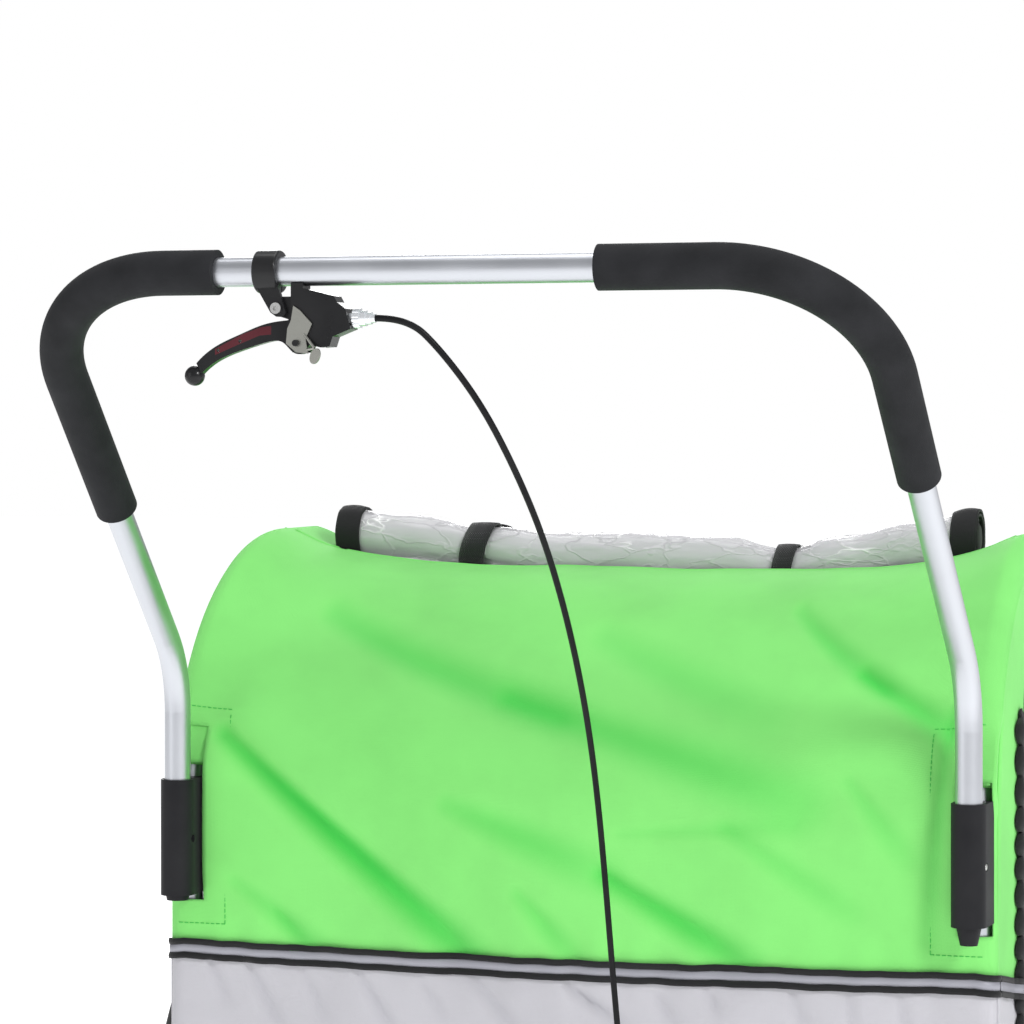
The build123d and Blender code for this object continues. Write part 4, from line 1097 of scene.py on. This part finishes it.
def inflate(name, size, place, material, pressure=4.0, cap=0.010):
    """A padded cushion: a rounded block, remeshed, blown up as cloth and kept within cap."""
    mesh = bmesh.new()
    bmesh.ops.create_cube(mesh, size=1.0)
    for v in mesh.verts:
        v.co = Vector([c * s for c, s in zip(v.co, size)])
    data = bpy.data.meshes.new(name)
    mesh.to_mesh(data)
    mesh.free()
    obj = bpy.data.objects.new(name, data)
    bpy.context.collection.objects.link(obj)
    bevel = obj.modifiers.new("Bevel", "BEVEL")
    bevel.width = min(size) * 0.42
    bevel.segments = 4
    remesh = obj.modifiers.new("Remesh", "REMESH")
    remesh.mode = "VOXEL"
    remesh.voxel_size = 0.0065
    apply_modifiers(obj)
    rest = [v.co.copy() for v in obj.data.vertices]
    cloth = obj.modifiers.new("Cloth", "CLOTH")
    cloth.settings.quality = 4
    cloth.settings.mass = 0.25
    cloth.settings.tension_stiffness = 18
    cloth.settings.compression_stiffness = 18
    cloth.settings.use_pressure = True
    cloth.settings.uniform_pressure_force = pressure
    cloth.settings.effector_weights.gravity = 0
    cloth.collision_settings.use_self_collision = False
    scene = bpy.context.scene
    for at in range(1, 19):
        scene.frame_set(at)
    apply_modifiers(obj)
    scene.frame_set(1)
    for v, old in zip(obj.data.vertices, rest):
        move = v.co - old
        if move.length > cap:
            v.co = old + move * (cap / move.length)
    obj.data.transform(place)
    obj.data.materials.clear()
    obj.data.materials.append(material)
    obj.data.shade_smooth()
    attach(obj, "chassis")
    return obj


def press_seams(obj, seams, normal, depth=0.006, width=0.007):
    """Sews channels into a pad: seams(point) gives the distance to the nearest seam."""
    facing = Vector(normal)
    for v in obj.data.vertices:
        if v.normal.dot(facing) > 0.35:
            v.co -= facing * depth * math.exp(-((seams(v.co) / width) ** 2))
    smooth = obj.modifiers.new("Smooth", "SUBSURF")
    smooth.levels = 1
    smooth.render_levels = 1
    apply_modifiers(obj)
    obj.data.shade_smooth()


def seat():
    low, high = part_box("seat_cushion")
    size = [h - l - 0.014 for l, h in zip(low, high)]
    centre = Vector([(l + h) / 2 for l, h in zip(low, high)])
    cushion = inflate("Seat_Cushion_Pad", size, Matrix.Translation(centre), SEAT, cap=0.007)
    press_seams(cushion, lambda p: min(abs(p.x), abs(abs(p.x) - 0.30)), (0, 0, 1))
    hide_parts("seat_cushion")

    tilt = Matrix.Rotation(math.radians(-16), 4, "X")
    origin = Matrix.Translation(Vector((0, 0.206, 0.330)))
    place = origin @ tilt @ Matrix.Translation(Vector((0, 0.010, 0.200)))
    back = inflate("Seat_Back_Pad", (0.622, 0.014, 0.386), place, SEAT, cap=0.006)
    inverse = (origin @ tilt).inverted()

    def channels(point):
        local = inverse @ point
        return min(abs(local.x), abs(local.z % 0.1 - 0.05))

    press_seams(back, channels, tilt @ Vector((0, -1, 0)), depth=0.0035)
    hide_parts("seat_back")

    def web(name, points, width_way, width=0.025, thickness=0.0016):
        verts = [Vector(p) + Vector(width_way) * (e * width) for p in points for e in (-0.5, 0.0, 0.5)]
        made = from_lists(name, verts, lattice(len(points), 3), WEBBING)
        return thicken(made, thickness, 0.0)

    first = True
    for label, seat_x in (("Left", 0.160), ("Right", -0.160)):
        for side, s in (("Outer", 1), ("Inner", -1)):
            x = seat_x + s * 0.062
            points = []
            for i in range(25):
                t = i / 24
                high = 0.330 - 0.292 * t
                off = -0.0075 - 0.010 * math.sin(math.pi * t)
                points.append(origin @ tilt @ Vector((x - s * 0.028 * t, off, high)))
            end = Vector((seat_x + s * 0.016, 0.168, 0.337))
            points.append((points[-1] + end) / 2 + Vector((0, -0.008, 0.002)))
            points.append(end)
            made = web(f"{label}_{side}_Shoulder_Strap", points, (1, 0, 0))
            if first:
                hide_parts("harness_straps")
                first = False
            lap = [Vector((seat_x + s * d, 0.160 + 0.02 * (d / 0.13), 0.3325 + 0.003 * math.sin(d * 60)))
                   for d in steps(0.018, 0.132, 0.01)]
            web(f"{label}_{side}_Lap_Strap", lap, (0, 1, 0))
        crotch = [Vector((seat_x, y, 0.3325)) for y in steps(0.045, 0.134, 0.008)]
        web(f"{label}_Crotch_Strap", crotch, (1, 0, 0))


# ---------------------------------------------------------------- CAD parts

FINISH = {
    TUBE: ["floor_rails", "floor_cross_tubes", "side_hoops", "back_cross_tube", "handle_tube", "front_arm"],
    BLACK_PAINT: ["axle_tube", "cross_tube_brackets", "tow_bracket", "tow_arm", "front_fork", "head_tube"],
    STEEL: ["wheel_axles", "tow_pin", "hitch_coupler", "lever_clamp_screw", "brake_plates", "left_brake_arm",
            "right_brake_arm", "left_snap_button", "right_snap_button", "left_spokes", "right_spokes"],
    RIM: ["left_rim", "right_rim", "left_hub", "right_hub"],
    BLACK_PLASTIC: ["floor_joints", "back_tube_clamps", "handle_sockets", "handle_end_plugs",
                    "front_arm_clamps", "cable_splitter", "harness_buckles", "front_wheel_rim",
                    "left_axle_button", "right_axle_button"],
    BLACK_METAL: ["lever_clamp", "lever_body", "lever_blade"],
    RED: ["lever_insert"],
    LATCH: ["parking_latch"],
    CLEAR: ["barrel_adjuster"],
    FOAM: ["left_grip", "right_grip"],
    JACKET: ["branch_cables"],
    RUBBER: ["left_tyre", "right_tyre", "front_tyre"],
}


def finish_cad_parts():
    for material, names in FINISH.items():
        for name in names:
            for slot in NODES[name].material_slots:
                slot.link = "OBJECT"
                slot.material = material


stage_and_light()
camera()
brake_cable()
rear_cover()
side_panels()
skirts_and_strip()
rain_cover()
seat()
finish_cad_parts()
